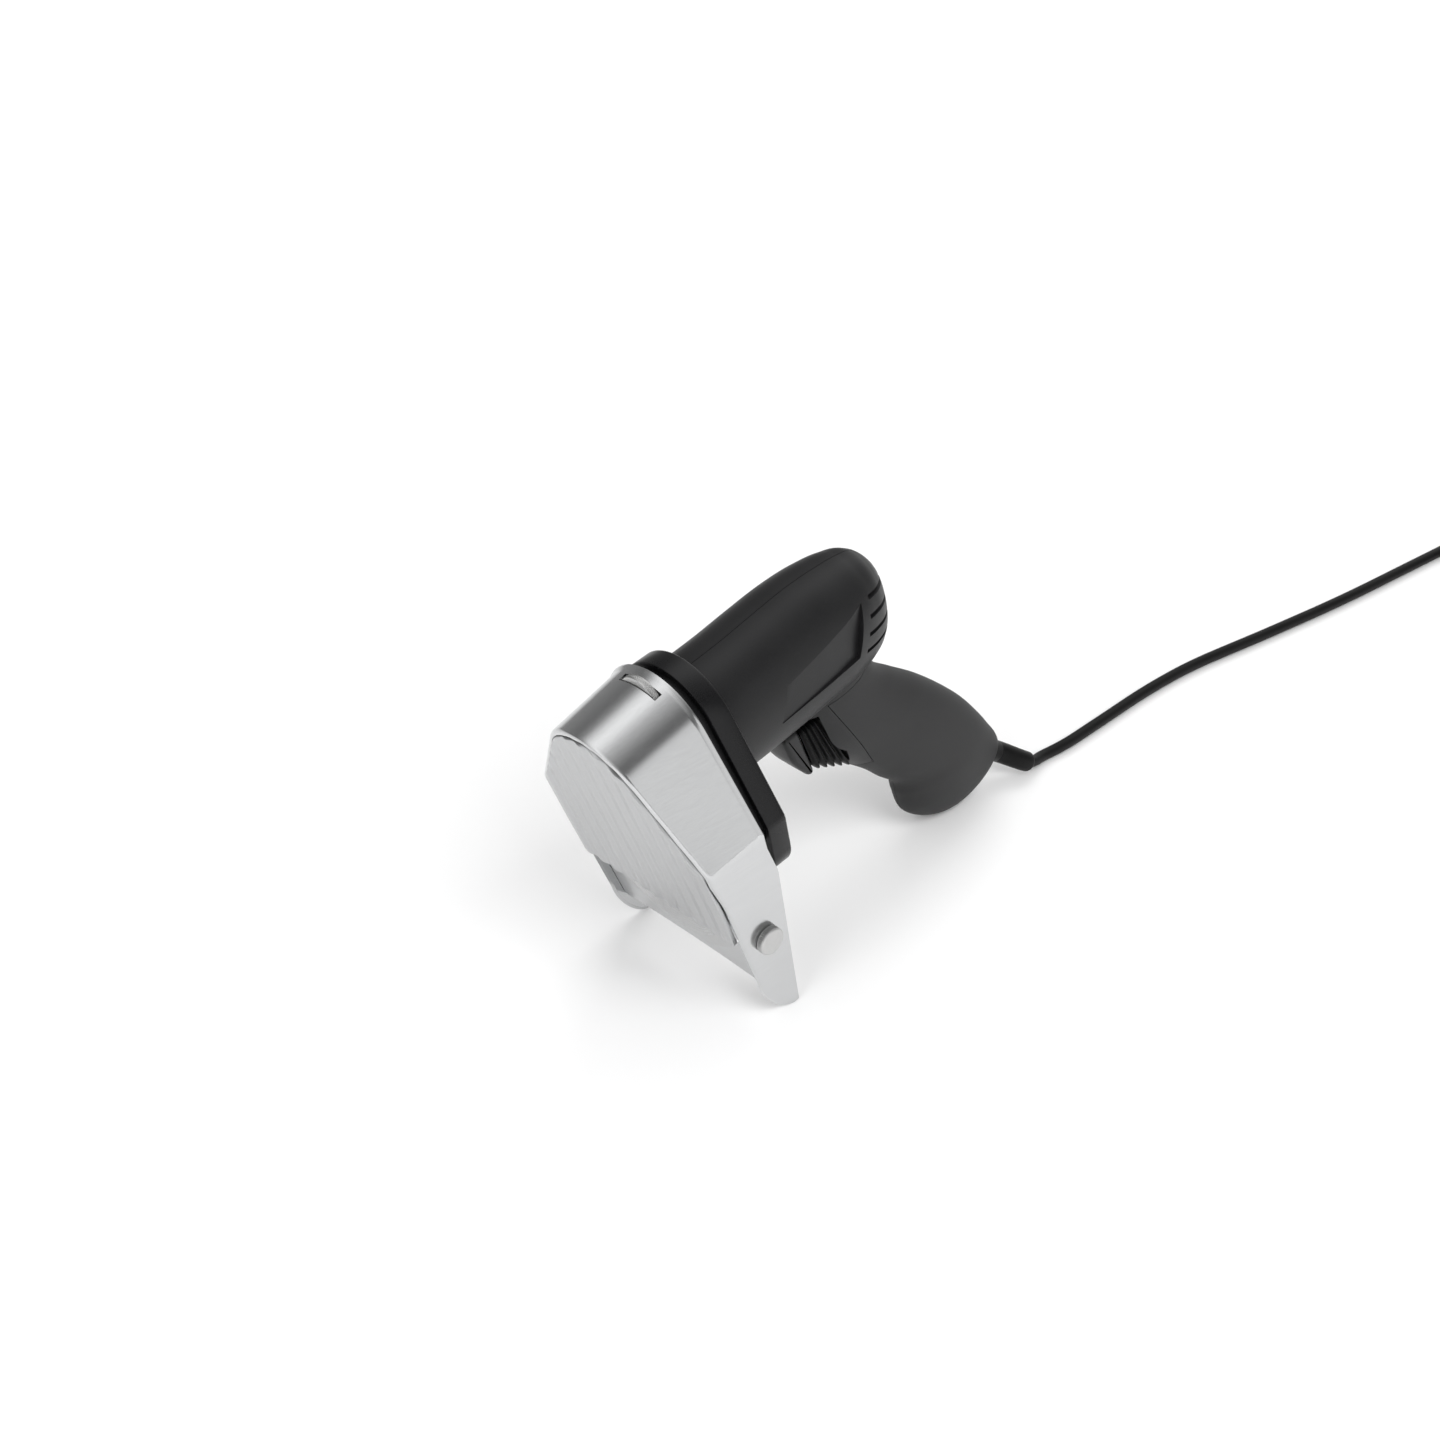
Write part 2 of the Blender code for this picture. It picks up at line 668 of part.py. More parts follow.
def bar_tab(side, front):
    rings = []
    for drop in (TAB_TOP, TAB_BOTTOM):
        outer = leg_inner(drop) - GAP
        ahead = FACE_REACH - drop * tan(FACE_TILT) - (front + BAR_THICK / 2) / cos(FACE_TILT)
        rings.append([
            (TAB_REAR, side * outer, -drop), (ahead, side * outer, -drop),
            (ahead, side * (outer - TAB_THICK), -drop), (TAB_REAR, side * (outer - TAB_THICK), -drop)])
    return skin(rings)


def build_knobs():
    knobs = []
    seat = leg_inner(KNOB_DROP) + SHEET + GAP
    inner = leg_inner(KNOB_DROP) - GAP - TAB_THICK - KNOB_TAIL
    lip = KNOB_LIP
    profile = ((0, inner), (KNOB_SHANK_RADIUS, inner), (KNOB_SHANK_RADIUS, seat), (KNOB_RADIUS - lip, seat),
               (KNOB_RADIUS, seat + lip), (KNOB_RADIUS, seat + KNOB_THICK - lip),
               (KNOB_RADIUS - lip, seat + KNOB_THICK), (0, seat + KNOB_THICK))
    for side, name in ((1, "thumb_screw_left"), (-1, "thumb_screw_right")):
        place = axes_matrix((KNOB_X, 0, -KNOB_DROP), FORWARD, -VERTICAL * side, SIDEWAYS * side)
        knobs.append(solid(name, *turned(profile, KNOB_SIDES), NICKEL, place))
    return knobs


def build_wheel():
    place = axes_matrix((WHEEL_PLACE, 0, WHEEL_RISE), SIDEWAYS, VERTICAL, FORWARD)
    half = WHEEL_WIDTH / 2
    lip = KNOB_LIP
    profile = ((STUD_RADIUS + RUN, -half), (WHEEL_RADIUS - lip, -half), (WHEEL_RADIUS, lip - half),
               (WHEEL_RADIUS, half - lip), (WHEEL_RADIUS - lip, half), (STUD_RADIUS + RUN, half))
    wheel = solid("adjusting_wheel", *turned(profile, 30), NICKEL, place)
    stud_place = axes_matrix((0, 0, WHEEL_RISE), SIDEWAYS, VERTICAL, FORWARD)
    stud = solid("adjusting_stud", *turned(rod_profile(STUD_RADIUS, STUD_REAR, STUD_FRONT), 24),
                 NICKEL, stud_place)
    return wheel, stud


def plate_edges(side):
    """Top and bottom edge of the ribbed plate at a distance from its middle."""
    inset = FRONT_BEND + PLATE_CLEAR
    rows = half_outline(FACE_RADIUS, FACE_ARC_DROP, FACE_BEND_DROP, inset, [PLATE_DROP])
    points = [(p.x, p.y) for p, normal in rows]
    widest = max(range(len(points)), key=lambda i: points[i][0])
    top = np.interp(side, [p[0] for p in points[:widest + 1]], [p[1] for p in points[:widest + 1]])
    lower = list(reversed(points[widest:]))
    foot = -PLATE_DROP
    if side > lower[0][0]:
        foot = np.interp(side, [p[0] for p in lower], [p[1] for p in lower])
    return top, foot, points[widest][0]


def build_plate():
    """Ribbed plate: columns across the face, each from the outline's top to its lower edge."""
    width = plate_edges(0)[2] - EDGE_ROUND
    columns = RIB_COUNT * RIB_POINTS
    rings = []
    for k in range(columns + 1):
        side = -width + 2 * width * k / columns
        top, foot, widest = plate_edges(abs(side))
        wave = RIB_HEIGHT * (1 - cos(2 * pi * k / RIB_POINTS)) / 2
        rings.append([(side, top, wave), (side, foot, wave),
                      (side, foot, -PLATE_THICK), (side, top, -PLATE_THICK)])
    plate = solid("front_plate", *skin(rings), STEEL, FACE)
    for side in (-1, 1):
        post = turned(rod_profile(POST_RADIUS, -COVER_FRONT - POST_DEPTH, -PLATE_THICK / 2), 20)
        spot = FACE @ Matrix.Translation((side * POST_SPREAD, -POST_DROP, 0))
        cut(plate, solid("join_post", *post, place=spot), operation="UNION")
    return plate


def build_blade():
    spot = FACE @ Matrix.Translation((0, -BLADE_DROP, 0))
    front = -BLADE_FRONT
    back = front - BLADE_THICK
    profile = ((BLADE_BORE, front), (BLADE_RADIUS - BEVEL_WIDTH, front), (BLADE_RADIUS, back + BLADE_EDGE),
               (BLADE_RADIUS, back), (BLADE_BORE, back))
    blade = solid("blade", *turned(profile, 60), BLADE_STEEL, spot)
    seat = front + GAP
    screw = ((0, seat - SCREW_SHANK_LENGTH), (SCREW_SHANK_RADIUS, seat - SCREW_SHANK_LENGTH),
             (SCREW_SHANK_RADIUS, seat), (SCREW_HEAD_RADIUS, seat),
             (SCREW_HEAD_RADIUS, seat + SCREW_HEAD_THICK / 2),
             (SCREW_HEAD_RADIUS - SCREW_HEAD_THICK / 2, seat + SCREW_HEAD_THICK),
             (0, seat + SCREW_HEAD_THICK))
    fixing = solid("blade_screw", *turned(screw, 20), NICKEL, spot)
    nose = front - GAP
    hub = back - GAP
    rear = -GEAR_BACK - SPINDLE_TAIL
    bore = seat - SCREW_SHANK_LENGTH - GAP
    spindle = ((0, rear), (SPINDLE_RADIUS, rear), (SPINDLE_RADIUS, hub - HUB_THICK), (HUB_RADIUS, hub - HUB_THICK),
               (HUB_RADIUS, hub), (BLADE_BORE - RUN, hub), (BLADE_BORE - RUN, nose),
               (SCREW_SHANK_RADIUS + RUN, nose), (SCREW_SHANK_RADIUS + RUN, bore), (0, bore))
    shaft = solid("blade_spindle", *turned(spindle, 20), NICKEL, spot)
    return blade, fixing, shaft


# Gear train: the motor pinion drives an idler, and the idler the gear on the blade spindle

GEAR_MIDDLE = -(GEAR_BACK - GEAR_FACE / 2)
MODULE = ((BLADE_DROP - MOTOR_DROP / cos(FACE_TILT) + GEAR_MIDDLE * tan(FACE_TILT))
          / (PINION_TEETH / 2 / cos(FACE_TILT) + IDLER_TEETH + SPINDLE_TEETH / 2))
PINION_PITCH = MODULE * PINION_TEETH / 2
IDLER_PITCH = MODULE * IDLER_TEETH / 2
SPINDLE_PITCH = MODULE * SPINDLE_TEETH / 2
IDLER_DROP = BLADE_DROP - SPINDLE_PITCH - IDLER_PITCH
PINION_X = FACE_REACH - ((MOTOR_DROP + PINION_PITCH) * sin(FACE_TILT) - GEAR_MIDDLE) / cos(FACE_TILT)
PINION_DROP = IDLER_DROP - IDLER_PITCH - PINION_PITCH


def involute(angle):
    return tan(angle) - angle


def gear_outline(teeth, turned_half):
    """Involute teeth sampled at root, pitch and tip; one tooth points up unless turned by half."""
    pitch = MODULE * teeth / 2
    base = pitch * cos(PRESSURE_ANGLE)
    radii = (pitch - DEDENDUM_SHARE * MODULE, pitch, pitch + ADDENDUM_SHARE * MODULE)
    widths = []
    for radius in radii:
        lean = acos(min(1, base / radius))
        widths.append(pi / (2 * teeth) - BACKLASH / (2 * pitch) + involute(PRESSURE_ANGLE) - involute(lean))
    outline = []
    for k in range(teeth):
        middle = pi / 2 + 2 * pi * (k + (0.5 if turned_half else 0)) / teeth
        flank = list(zip(radii, widths))
        points = [(r, middle - w) for r, w in flank] + [(r, middle + w) for r, w in reversed(flank)]
        outline += [(r * cos(a), r * sin(a)) for r, a in points]
    return outline


def gear(name, outline, bore, low, high, finish, place, grow=0):
    """A toothed wheel with a round bore; its teeth widen along z by the slope grow."""
    middle = (low + high) / 2
    pitch = sqrt(outline[1][0] ** 2 + outline[1][1] ** 2)
    rings = []
    for height in (low, high):
        scale = 1 + grow * (height - middle) / pitch
        rings.append([(x * scale, y * scale, height) for x, y in outline])
    wheel = solid(name, *skin(rings), finish, place)
    cut(wheel, solid("cut_bore", *turned(rod_profile(bore, low - OVERRUN, high + OVERRUN), 20), place=place))
    return wheel


def build_gears():
    low = -GEAR_BACK
    high = GEAR_FACE - GEAR_BACK
    spindle_spot = FACE @ Matrix.Translation((0, -BLADE_DROP, 0))
    idler_spot = FACE @ Matrix.Translation((0, -IDLER_DROP, 0))
    gear("spindle_gear", gear_outline(SPINDLE_TEETH, True), SPINDLE_RADIUS + RUN, low, high,
         CAN_STEEL, spindle_spot)
    gear("idler_gear", gear_outline(IDLER_TEETH, False), AXLE_RADIUS + RUN, low, high, NYLON, idler_spot)
    solid("idler_axle", *turned(rod_profile(
        AXLE_RADIUS, low - AXLE_SEAT, AXLE_FRONT - COVER_FRONT - COVER_THICK), 24), NICKEL, idler_spot)
    half = GEAR_FACE / 2
    place = axes_matrix((PINION_X, 0, -MOTOR_DROP), SIDEWAYS, VERTICAL, FORWARD)
    gear("motor_pinion", gear_outline(PINION_TEETH, True), SHAFT_RADIUS + RUN, -half, half,
         CAN_STEEL, place, tan(FACE_TILT))


def case_circles(wall):
    tip = (ADDENDUM_SHARE * MODULE) + GEAR_AIR + wall
    pinion = PINION_PITCH + tip + GEAR_FACE / 2 * tan(FACE_TILT)
    return ((-PINION_DROP, pinion), (-IDLER_DROP, IDLER_PITCH + tip), (-BLADE_DROP, SPINDLE_PITCH + tip))


def build_case():
    """Gear case behind its cover: the case stands against the collar's stepped front."""
    split = -COVER_FRONT - COVER_THICK
    case = solid("gear_case", *prism(hull(case_circles(CASE_WALL)), -CASE_BACK, split - GAP), CAST, FACE)
    cavity = solid("cut_case", *prism(hull(case_circles(0)), -GEAR_BACK - GEAR_AIR, split + OVERRUN), place=FACE)
    wide = COLLAR_HALF + OVERRUN
    nose = solid("cut_nose", *box((-COLLAR_REAR - OVERRUN, -wide, -COLLAR_NOSE_FOOT - GAP),
                                  (COLLAR_NOSE + GAP, wide, wide)))
    flange = solid("cut_flange", *box((-COLLAR_REAR - OVERRUN, -wide, -BLADE_RADIUS * 2),
                                      (-COLLAR_STEP + GAP, wide, wide)))
    shaft = solid("cut_shaft", *turned(rod_profile(SHAFT_RADIUS + SHAFT_AIR, -OVERRUN, PINION_X), 14), place=MOTOR)
    depth = -GEAR_BACK - AXLE_SEAT - GAP
    idler_spot = FACE @ Matrix.Translation((0, -IDLER_DROP, 0))
    axle = solid("cut_axle", *turned(rod_profile(AXLE_RADIUS + RUN, depth, split), 24), place=idler_spot)
    spindle_spot = FACE @ Matrix.Translation((0, -BLADE_DROP, 0))
    tail = -GEAR_BACK - SPINDLE_TAIL - GAP
    spindle = solid("cut_spindle", *turned(rod_profile(
        SPINDLE_RADIUS + RUN + BUSH_WALL + RUN, tail, split), 16), place=spindle_spot)
    swing = PINION_PITCH + ADDENDUM_SHARE * MODULE + GEAR_FACE / 2 * tan(FACE_TILT) + GEAR_AIR
    half = GEAR_FACE / 2 + GEAR_AIR
    pinion = solid("cut_pinion", *turned(rod_profile(swing, PINION_X - half, PINION_X + half), 20), place=MOTOR)
    wheel_front = WHEEL_PLACE + WHEEL_WIDTH / 2 + SLICE_AT_REST - SLICE_LEAST + GAP
    wheel = solid("cut_wheel", *turned(rod_profile(WHEEL_RADIUS + SLOT_SIDE_GAP, 0, wheel_front), 32),
                  place=axes_matrix((0, 0, WHEEL_RISE), SIDEWAYS, VERTICAL, FORWARD))
    cut(case, cavity, nose, flange, shaft, axle, spindle, pinion, wheel)
    cover = solid("gear_cover", *prism(hull(case_circles(CASE_WALL)), split, -COVER_FRONT), CAST, FACE)
    bush_hole = solid("cut_bush", *turned(rod_profile(
        SPINDLE_RADIUS + RUN + BUSH_WALL + RUN, split - OVERRUN, -COVER_FRONT + OVERRUN), 16), place=spindle_spot)
    axle_end = solid("cut_axle_end", *turned(rod_profile(
        AXLE_RADIUS + RUN, split - OVERRUN, split + AXLE_FRONT + GAP), 24), place=idler_spot)
    cut(cover, bush_hole, axle_end)
    for side in (-1, 1):
        spot = FACE @ Matrix.Translation((side * POST_SPREAD, -POST_DROP, 0))
        cut(cover, solid("cut_post", *turned(rod_profile(
            POST_RADIUS + RUN, -COVER_FRONT - POST_DEPTH - GAP, -COVER_FRONT + OVERRUN), 20), place=spot))
    front_bush = solid("spindle_bush_front", *turned(tube_profile(
        SPINDLE_RADIUS + RUN, SPINDLE_RADIUS + RUN + BUSH_WALL, split, -COVER_FRONT), 16), BRASS, spindle_spot)
    rear_bush = solid("spindle_bush_rear", *turned(tube_profile(
        SPINDLE_RADIUS + RUN, SPINDLE_RADIUS + RUN + BUSH_WALL, tail + GAP, -GEAR_BACK - GEAR_AIR), 16),
        BRASS, spindle_spot)
    return case, cover, front_bush, rear_bush


def collar_outline(inset, foot, corner):
    """Rounded bell outline (side, up) of the collar."""
    radius = COLLAR_RADIUS - inset
    half = COLLAR_HALF
    bend = Vector((half, -COLLAR_BEND_DROP))
    turn = atan2(bend.x, bend.y) - acos(radius / bend.length)
    right = [(radius * sin(turn * k / ARC_STEPS), radius * cos(turn * k / ARC_STEPS)) for k in range(ARC_STEPS + 1)]
    slant = Vector((sin(turn), cos(turn)))
    flat = Vector((1, 0))
    swing = slant.angle(flat)
    heart = bend - (slant + flat) * (BEND_RADIUS / (1 + slant.dot(flat)))
    for k in range(BEND_STEPS + 1):
        share = k / BEND_STEPS
        normal = (slant * sin((1 - share) * swing) + flat * sin(share * swing)) / sin(swing)
        point = heart + normal * BEND_RADIUS
        right.append((point.x, point.y))
    steps = 5
    for k in range(steps + 1):
        angle = -pi / 2 * k / steps
        right.append((half - corner + corner * cos(angle), -foot + corner + corner * sin(angle)))
    left = [(-x, y) for x, y in reversed(right)]
    return tidy(right + left)


def build_collar():
    """Moulded collar: a flange that shows, and a nose that carries the hood."""
    tilt = axes_matrix((0, 0, 0), SIDEWAYS, VERTICAL, FORWARD)
    bevel = EDGE_ROUND
    rings = []
    for place, inset in ((-COLLAR_REAR, bevel), (-COLLAR_REAR + bevel, 0), (-COLLAR_STEP, 0)):
        outline = collar_outline(inset, COLLAR_FOOT - inset, COLLAR_CORNER - inset)
        rings.append([(x * (1 - inset / COLLAR_HALF), y, place) for x, y in outline])
    collar = solid("collar", *skin(rings), GLOSSY, tilt)
    nose = solid("join_nose", *prism(collar_outline(COLLAR_NOSE_INSET, COLLAR_NOSE_FOOT, EDGE_ROUND * 2),
                                     -COLLAR_STEP - OVERRUN, COLLAR_NOSE), place=tilt)
    cut(collar, nose, operation="UNION")
    rear = -COLLAR_REAR - OVERRUN
    back_face = WHEEL_PLACE - WHEEL_WIDTH / 2 - (SLICE_MAX - SLICE_AT_REST) - GAP
    half = WHEEL_RADIUS + SLOT_SIDE_GAP + RUN
    notch = solid("cut_notch", *box((back_face, -half, WHEEL_RISE - half),
                                    (COLLAR_NOSE + OVERRUN, half, COLLAR_RADIUS + OVERRUN)))
    stud = solid("cut_stud", *turned(rod_profile(STUD_RADIUS + RUN, STUD_REAR - GAP, COLLAR_NOSE + OVERRUN), 24),
                 place=axes_matrix((0, 0, WHEEL_RISE), SIDEWAYS, VERTICAL, FORWARD))
    bearing = solid("cut_bearing", *turned(rod_profile(
        BEARING_RADIUS + RUN, rear, -COLLAR_REAR + BEARING_WIDTH + GAP), 16), place=MOTOR)
    shaft = solid("cut_collar_shaft", *turned(rod_profile(
        SHAFT_RADIUS + SHAFT_AIR, rear, COLLAR_NOSE + OVERRUN), 14), place=MOTOR)
    cut(collar, notch, stud, bearing, shaft)
    return collar


# Housing

def barrel_at(place):
    """Top, bottom and half width of the barrel at a place along X."""
    share = (BARREL_FRONT - place) / BARREL_LENGTH
    shares = [row[0] for row in BARREL_SHARES]
    return [BARREL_RADIUS * np.interp(share, shares, [row[k] for row in BARREL_SHARES]) for k in (1, 2, 3)]


def barrel_side(place, height):
    top, bottom, half = barrel_at(place)
    rise = abs(height - (top + bottom) / 2) / ((top - bottom) / 2)
    return half * (1 - min(1, rise) ** BARREL_POWER) ** (1 / BARREL_POWER)


def between(first, last, share):
    return first + (last - first) * share


def bent(value, power):
    return np.sign(value) * abs(value) ** (2 / power)


def barrel_rings(grow):
    rings = []
    for share in [row[0] for row in BARREL_SHARES]:
        place = BARREL_FRONT - share * BARREL_LENGTH
        top, bottom, half = barrel_at(place)
        middle = (top + bottom) / 2
        rise = (top - bottom) / 2 + grow
        ring = []
        for k in range(BARREL_SIDES):
            angle = pi / 2 + 2 * pi * k / BARREL_SIDES
            ring.append((place - grow * share ** 8, (half + grow) * bent(cos(angle), BARREL_POWER),
                         middle + rise * bent(sin(angle), BARREL_POWER)))
        rings.append(ring)
    return rings


def grip_rings(inset):
    """Rings across the grip, from inside the barrel down to the butt."""
    rows = []
    for back_x, back_z, front_x, front_z, half in GRIP_SHARES:
        back = Vector((GRIP_ROOT_X + GRIP_SPAN * back_x, 0, GRIP_ROOT_Z + GRIP_SPAN * back_z))
        front = Vector((GRIP_ROOT_X + GRIP_SPAN * front_x, 0, GRIP_ROOT_Z + GRIP_SPAN * front_z))
        rows.append([(back + front) / 2, (front - back) / 2, GRIP_SPAN * half])
    along = (rows[-1][0] - rows[-4][0]).normalized()
    rings = []
    for i, (centre, reach, half) in enumerate(rows):
        lift = max(0, i - len(rows) + 4) / 3
        centre = centre - along * inset * lift
        reach = reach * (1 - inset / reach.length)
        ring = []
        for k in range(GRIP_SIDES):
            angle = 2 * pi * k / GRIP_SIDES
            ring.append(centre + reach * bent(cos(angle), GRIP_POWER)
                        + SIDEWAYS * (half - inset) * bent(sin(angle), GRIP_POWER))
        rings.append(ring)
    return rings


def offset(outline, distance):
    """Outline moved inward, each edge by the same distance; corners run anticlockwise."""
    moved = []
    count = len(outline)
    for i in range(count):
        here = Vector(outline[i])
        before = (here - Vector(outline[i - 1])).normalized()
        after = (Vector(outline[(i + 1) % count]) - here).normalized()
        first = Vector((-before.y, before.x))
        second = Vector((-after.y, after.x))
        moved.append(here + (first + second) * (distance / (1 + first.dot(second))))
    return [(p.x, p.y) for p in moved]


def slab(outline, low, high):
    """An outline in X and Z made solid between two places along Y."""
    rings = [[(x, y, z) for x, z in outline] for y in (low, high)]
    return skin(rings)


def seam_region(inset):
    """Side view of what the soft cover takes: all of the grip behind and below the seam."""
    far = GRIP_SPAN * 2
    outline = [(SEAM_CORNER_X, SEAM_CORNER_Z), (SEAM_REAR_X, SEAM_REAR_Z), (-far, 0), (-far, -far),
               (0, -far), (0, SEAM_FOOT_Z), (SEAM_FOOT_X, SEAM_FOOT_Z)]
    return offset(outline, inset)


def side_cutter(side, gap):
    wide = GRIP_SPAN
    low, high = (-wide, gap) if side > 0 else (-gap, wide)
    return box((-2 * wide, low, -2 * wide), (wide, high, wide))


def panel_cutter(side):
    """Takes a flat out of the barrel's side: deepest along its lower edge, nothing at the crease."""
    out = side * (BARREL_RADIUS + OVERRUN)
    rings = []
    for k in range(PANEL_STEPS + 1):
        share = k / PANEL_STEPS
        place = between(PANEL_FRONT_X, PANEL_REAR_X, share)
        behind = place - between(PANEL_FRONT_LEAN, PANEL_REAR_LEAN, share)
        foot = between(PANEL_LOW_FRONT_Z, PANEL_LOW_REAR_Z, share)
        crease = between(PANEL_TOP_FRONT_Z, PANEL_TOP_REAR_Z, share)
        low = side * (barrel_side(place, foot) - PANEL_DEPTH * between(PANEL_FADE_SHARE, 1, share))
        high = side * barrel_side(behind, crease)
        rings.append([(place, low, foot), (place, out, foot), (behind, out, crease), (behind, high, crease)])
    return skin(rings)


def cut_vent(half, side, number):
    """A slot that starts beside the panel's leaning rear edge and falls towards the rear."""
    height = VENT_TOP_Z - VENT_PITCH * number
    lean = PANEL_REAR_LEAN * (height - PANEL_LOW_REAR_Z) / (PANEL_TOP_REAR_Z - PANEL_LOW_REAR_Z)
    start = (PANEL_REAR_X - lean - VENT_AIR, 0, height)
    ahead = Vector((cos(VENT_FALL), 0, sin(VENT_FALL)))
    near, far = sorted((VENT_MIDRIB * side, (BARREL_RADIUS + OVERRUN) * side))
    slot = box((-BARREL_LENGTH, near, -VENT_HEIGHT / 2), (0, far, VENT_HEIGHT / 2))
    cut(half, solid("cut_vent", *slot, place=axes_matrix(start, ahead, SIDEWAYS, ahead.cross(SIDEWAYS))))


PULL = Vector((cos(TRIGGER_SLOPE), 0, sin(TRIGGER_SLOPE)))
PULL_PLACE = axes_matrix((PLUNGER_X, 0, PLUNGER_Z), SIDEWAYS, SIDEWAYS.cross(-PULL), PULL)


def bellows_pocket():
    top = TRIGGER_Z + TRIGGER_TRAVEL * sin(TRIGGER_SLOPE) + 2 * GAP
    foot = BELLOWS_FOOT_Z - 2 * GAP - BELLOWS_FOLD_DEPTH
    lean = (BELLOWS_REAR_FOOT_X - BELLOWS_REAR_X) / (BELLOWS_FOOT_Z - BELLOWS_TOP_Z)
    rear_top = BELLOWS_REAR_X + lean * (top - BELLOWS_TOP_Z) - GAP
    rear_foot = BELLOWS_REAR_X + lean * (foot - BELLOWS_TOP_Z) - GAP
    outline = [(rear_top, top), (rear_foot, foot), (TRIGGER_X, foot), (TRIGGER_X, top)]
    half = BELLOWS_HALF + BELLOWS_FOLD_DEPTH + 2 * GAP
    return slab(outline, -half, half)


def relief_place():
    run = Vector((RELIEF_RUN_X, 0, RELIEF_RUN_Z)).normalized()
    return axes_matrix((RELIEF_X, 0, RELIEF_Z), SIDEWAYS, run.cross(SIDEWAYS), run)


def boss_place(x, z):
    return axes_matrix((x, 0, z), FORWARD, -VERTICAL, SIDEWAYS)


def shared_bores(through_cover):
    """Bores of the strain relief and of the screws that close the housing."""
    radius = RELIEF_RADIUS + GAP
    bores = [solid("cut_relief", *turned(rod_profile(radius, -RELIEF_ROOT - GAP, RELIEF_ROOT * 2), 14),
                   place=relief_place())]
    head = BOSS_HEAD_RADIUS + RUN
    deep = BOSS_HEAD_SEAT - GAP
    for x, z in BOSS_PLACES:
        profile = ((0, -2 * BARREL_RADIUS), (head, -2 * BARREL_RADIUS), (head, -deep),
                   (BOSS_SCREW_RADIUS + RUN, -deep), (BOSS_SCREW_RADIUS + RUN, BOSS_REACH + GAP),
                   (0, BOSS_REACH + GAP))
        if through_cover:
            profile = rod_profile(head + RUN, -2 * BARREL_RADIUS, 0)
        bores.append(solid("cut_boss", *turned(profile, 10), place=boss_place(x, z)))
    return bores


def motor_bay():
    front = -COLLAR_REAR + OVERRUN
    bay = ((0, front), (BAY_RADIUS, front), (BAY_RADIUS, BAY_REAR), (FAN_BAY_RADIUS, BAY_REAR),
           (FAN_BAY_RADIUS, FAN_BAY_REAR), (0, FAN_BAY_REAR))
    return turned(bay, 28)


def build_body():
    grip = solid("whole_grip", *skin(grip_rings(0), split=True))
    core = solid("grip_core", *skin(grip_rings(COVER_SKIN), split=True))
    region = solid("seam_region", *slab(seam_region(0), -GRIP_SPAN, GRIP_SPAN))
    cut(grip, region)
    cut(grip, core, operation="UNION")
    bay = solid("cut_bay", *motor_bay(), place=MOTOR)
    pocket = solid("cut_pocket", *bellows_pocket())
    plunger = solid("cut_plunger", *turned(rod_profile(
        PLUNGER_RADIUS + RUN, 0, PLUNGER_LENGTH + TRIGGER_TRAVEL + GAP), 20), place=PULL_PLACE)
    bores = shared_bores(False)
    halves = []
    for side, name in ((1, "body_left"), (-1, "body_right")):
        half = solid(name, *skin(barrel_rings(0), split=True), PLASTIC)
        cut(half, grip, operation="UNION")
        cut(half, bay, pocket, plunger, *bores)
        cut(half, solid("cut_panel", *panel_cutter(side)))
        for number in range(VENT_COUNT):
            cut_vent(half, side, number)
        cut(half, solid("cut_half", *side_cutter(side, GAP / 2)), solver="MANIFOLD")
        halves.append(half)
    return halves


def build_covers():
    region = solid("cover_region", *slab(seam_region(GAP), -GRIP_SPAN, GRIP_SPAN))
    core = solid("cover_core", *skin(grip_rings(COVER_SKIN - GAP), split=True))
    barrel = solid("cover_barrel", *skin(barrel_rings(GAP), split=True))
    bores = shared_bores(True)
    pocket = solid("cut_cover_pocket", *bellows_pocket())
    covers = []
    for side, name in ((1, "grip_cover_left"), (-1, "grip_cover_right")):
        cover = solid(name, *skin(grip_rings(0), split=True), SOFT)
        cut(cover, region, operation="INTERSECT")
        cut(cover, core, barrel, pocket, bores[0])
        if side < 0:
            cut(cover, *bores[2:])
        cut(cover, solid("cut_cover_half", *side_cutter(side, GAP / 2)), solver="MANIFOLD")
        covers.append(cover)
    return covers


def build_screws():
    top = -BOSS_HEAD_SEAT - BOSS_HEAD_THICK
    profile = ((0, top), (BOSS_HEAD_RADIUS, top), (BOSS_HEAD_RADIUS, -BOSS_HEAD_SEAT), (BOSS_SCREW_RADIUS, -BOSS_HEAD_SEAT),
               (BOSS_SCREW_RADIUS, BOSS_REACH), (0, BOSS_REACH))
    for i, (x, z) in enumerate(BOSS_PLACES):
        solid("body_screw_%d" % (i + 1), *turned(profile, 10), NICKEL, boss_place(x, z))


# Motor

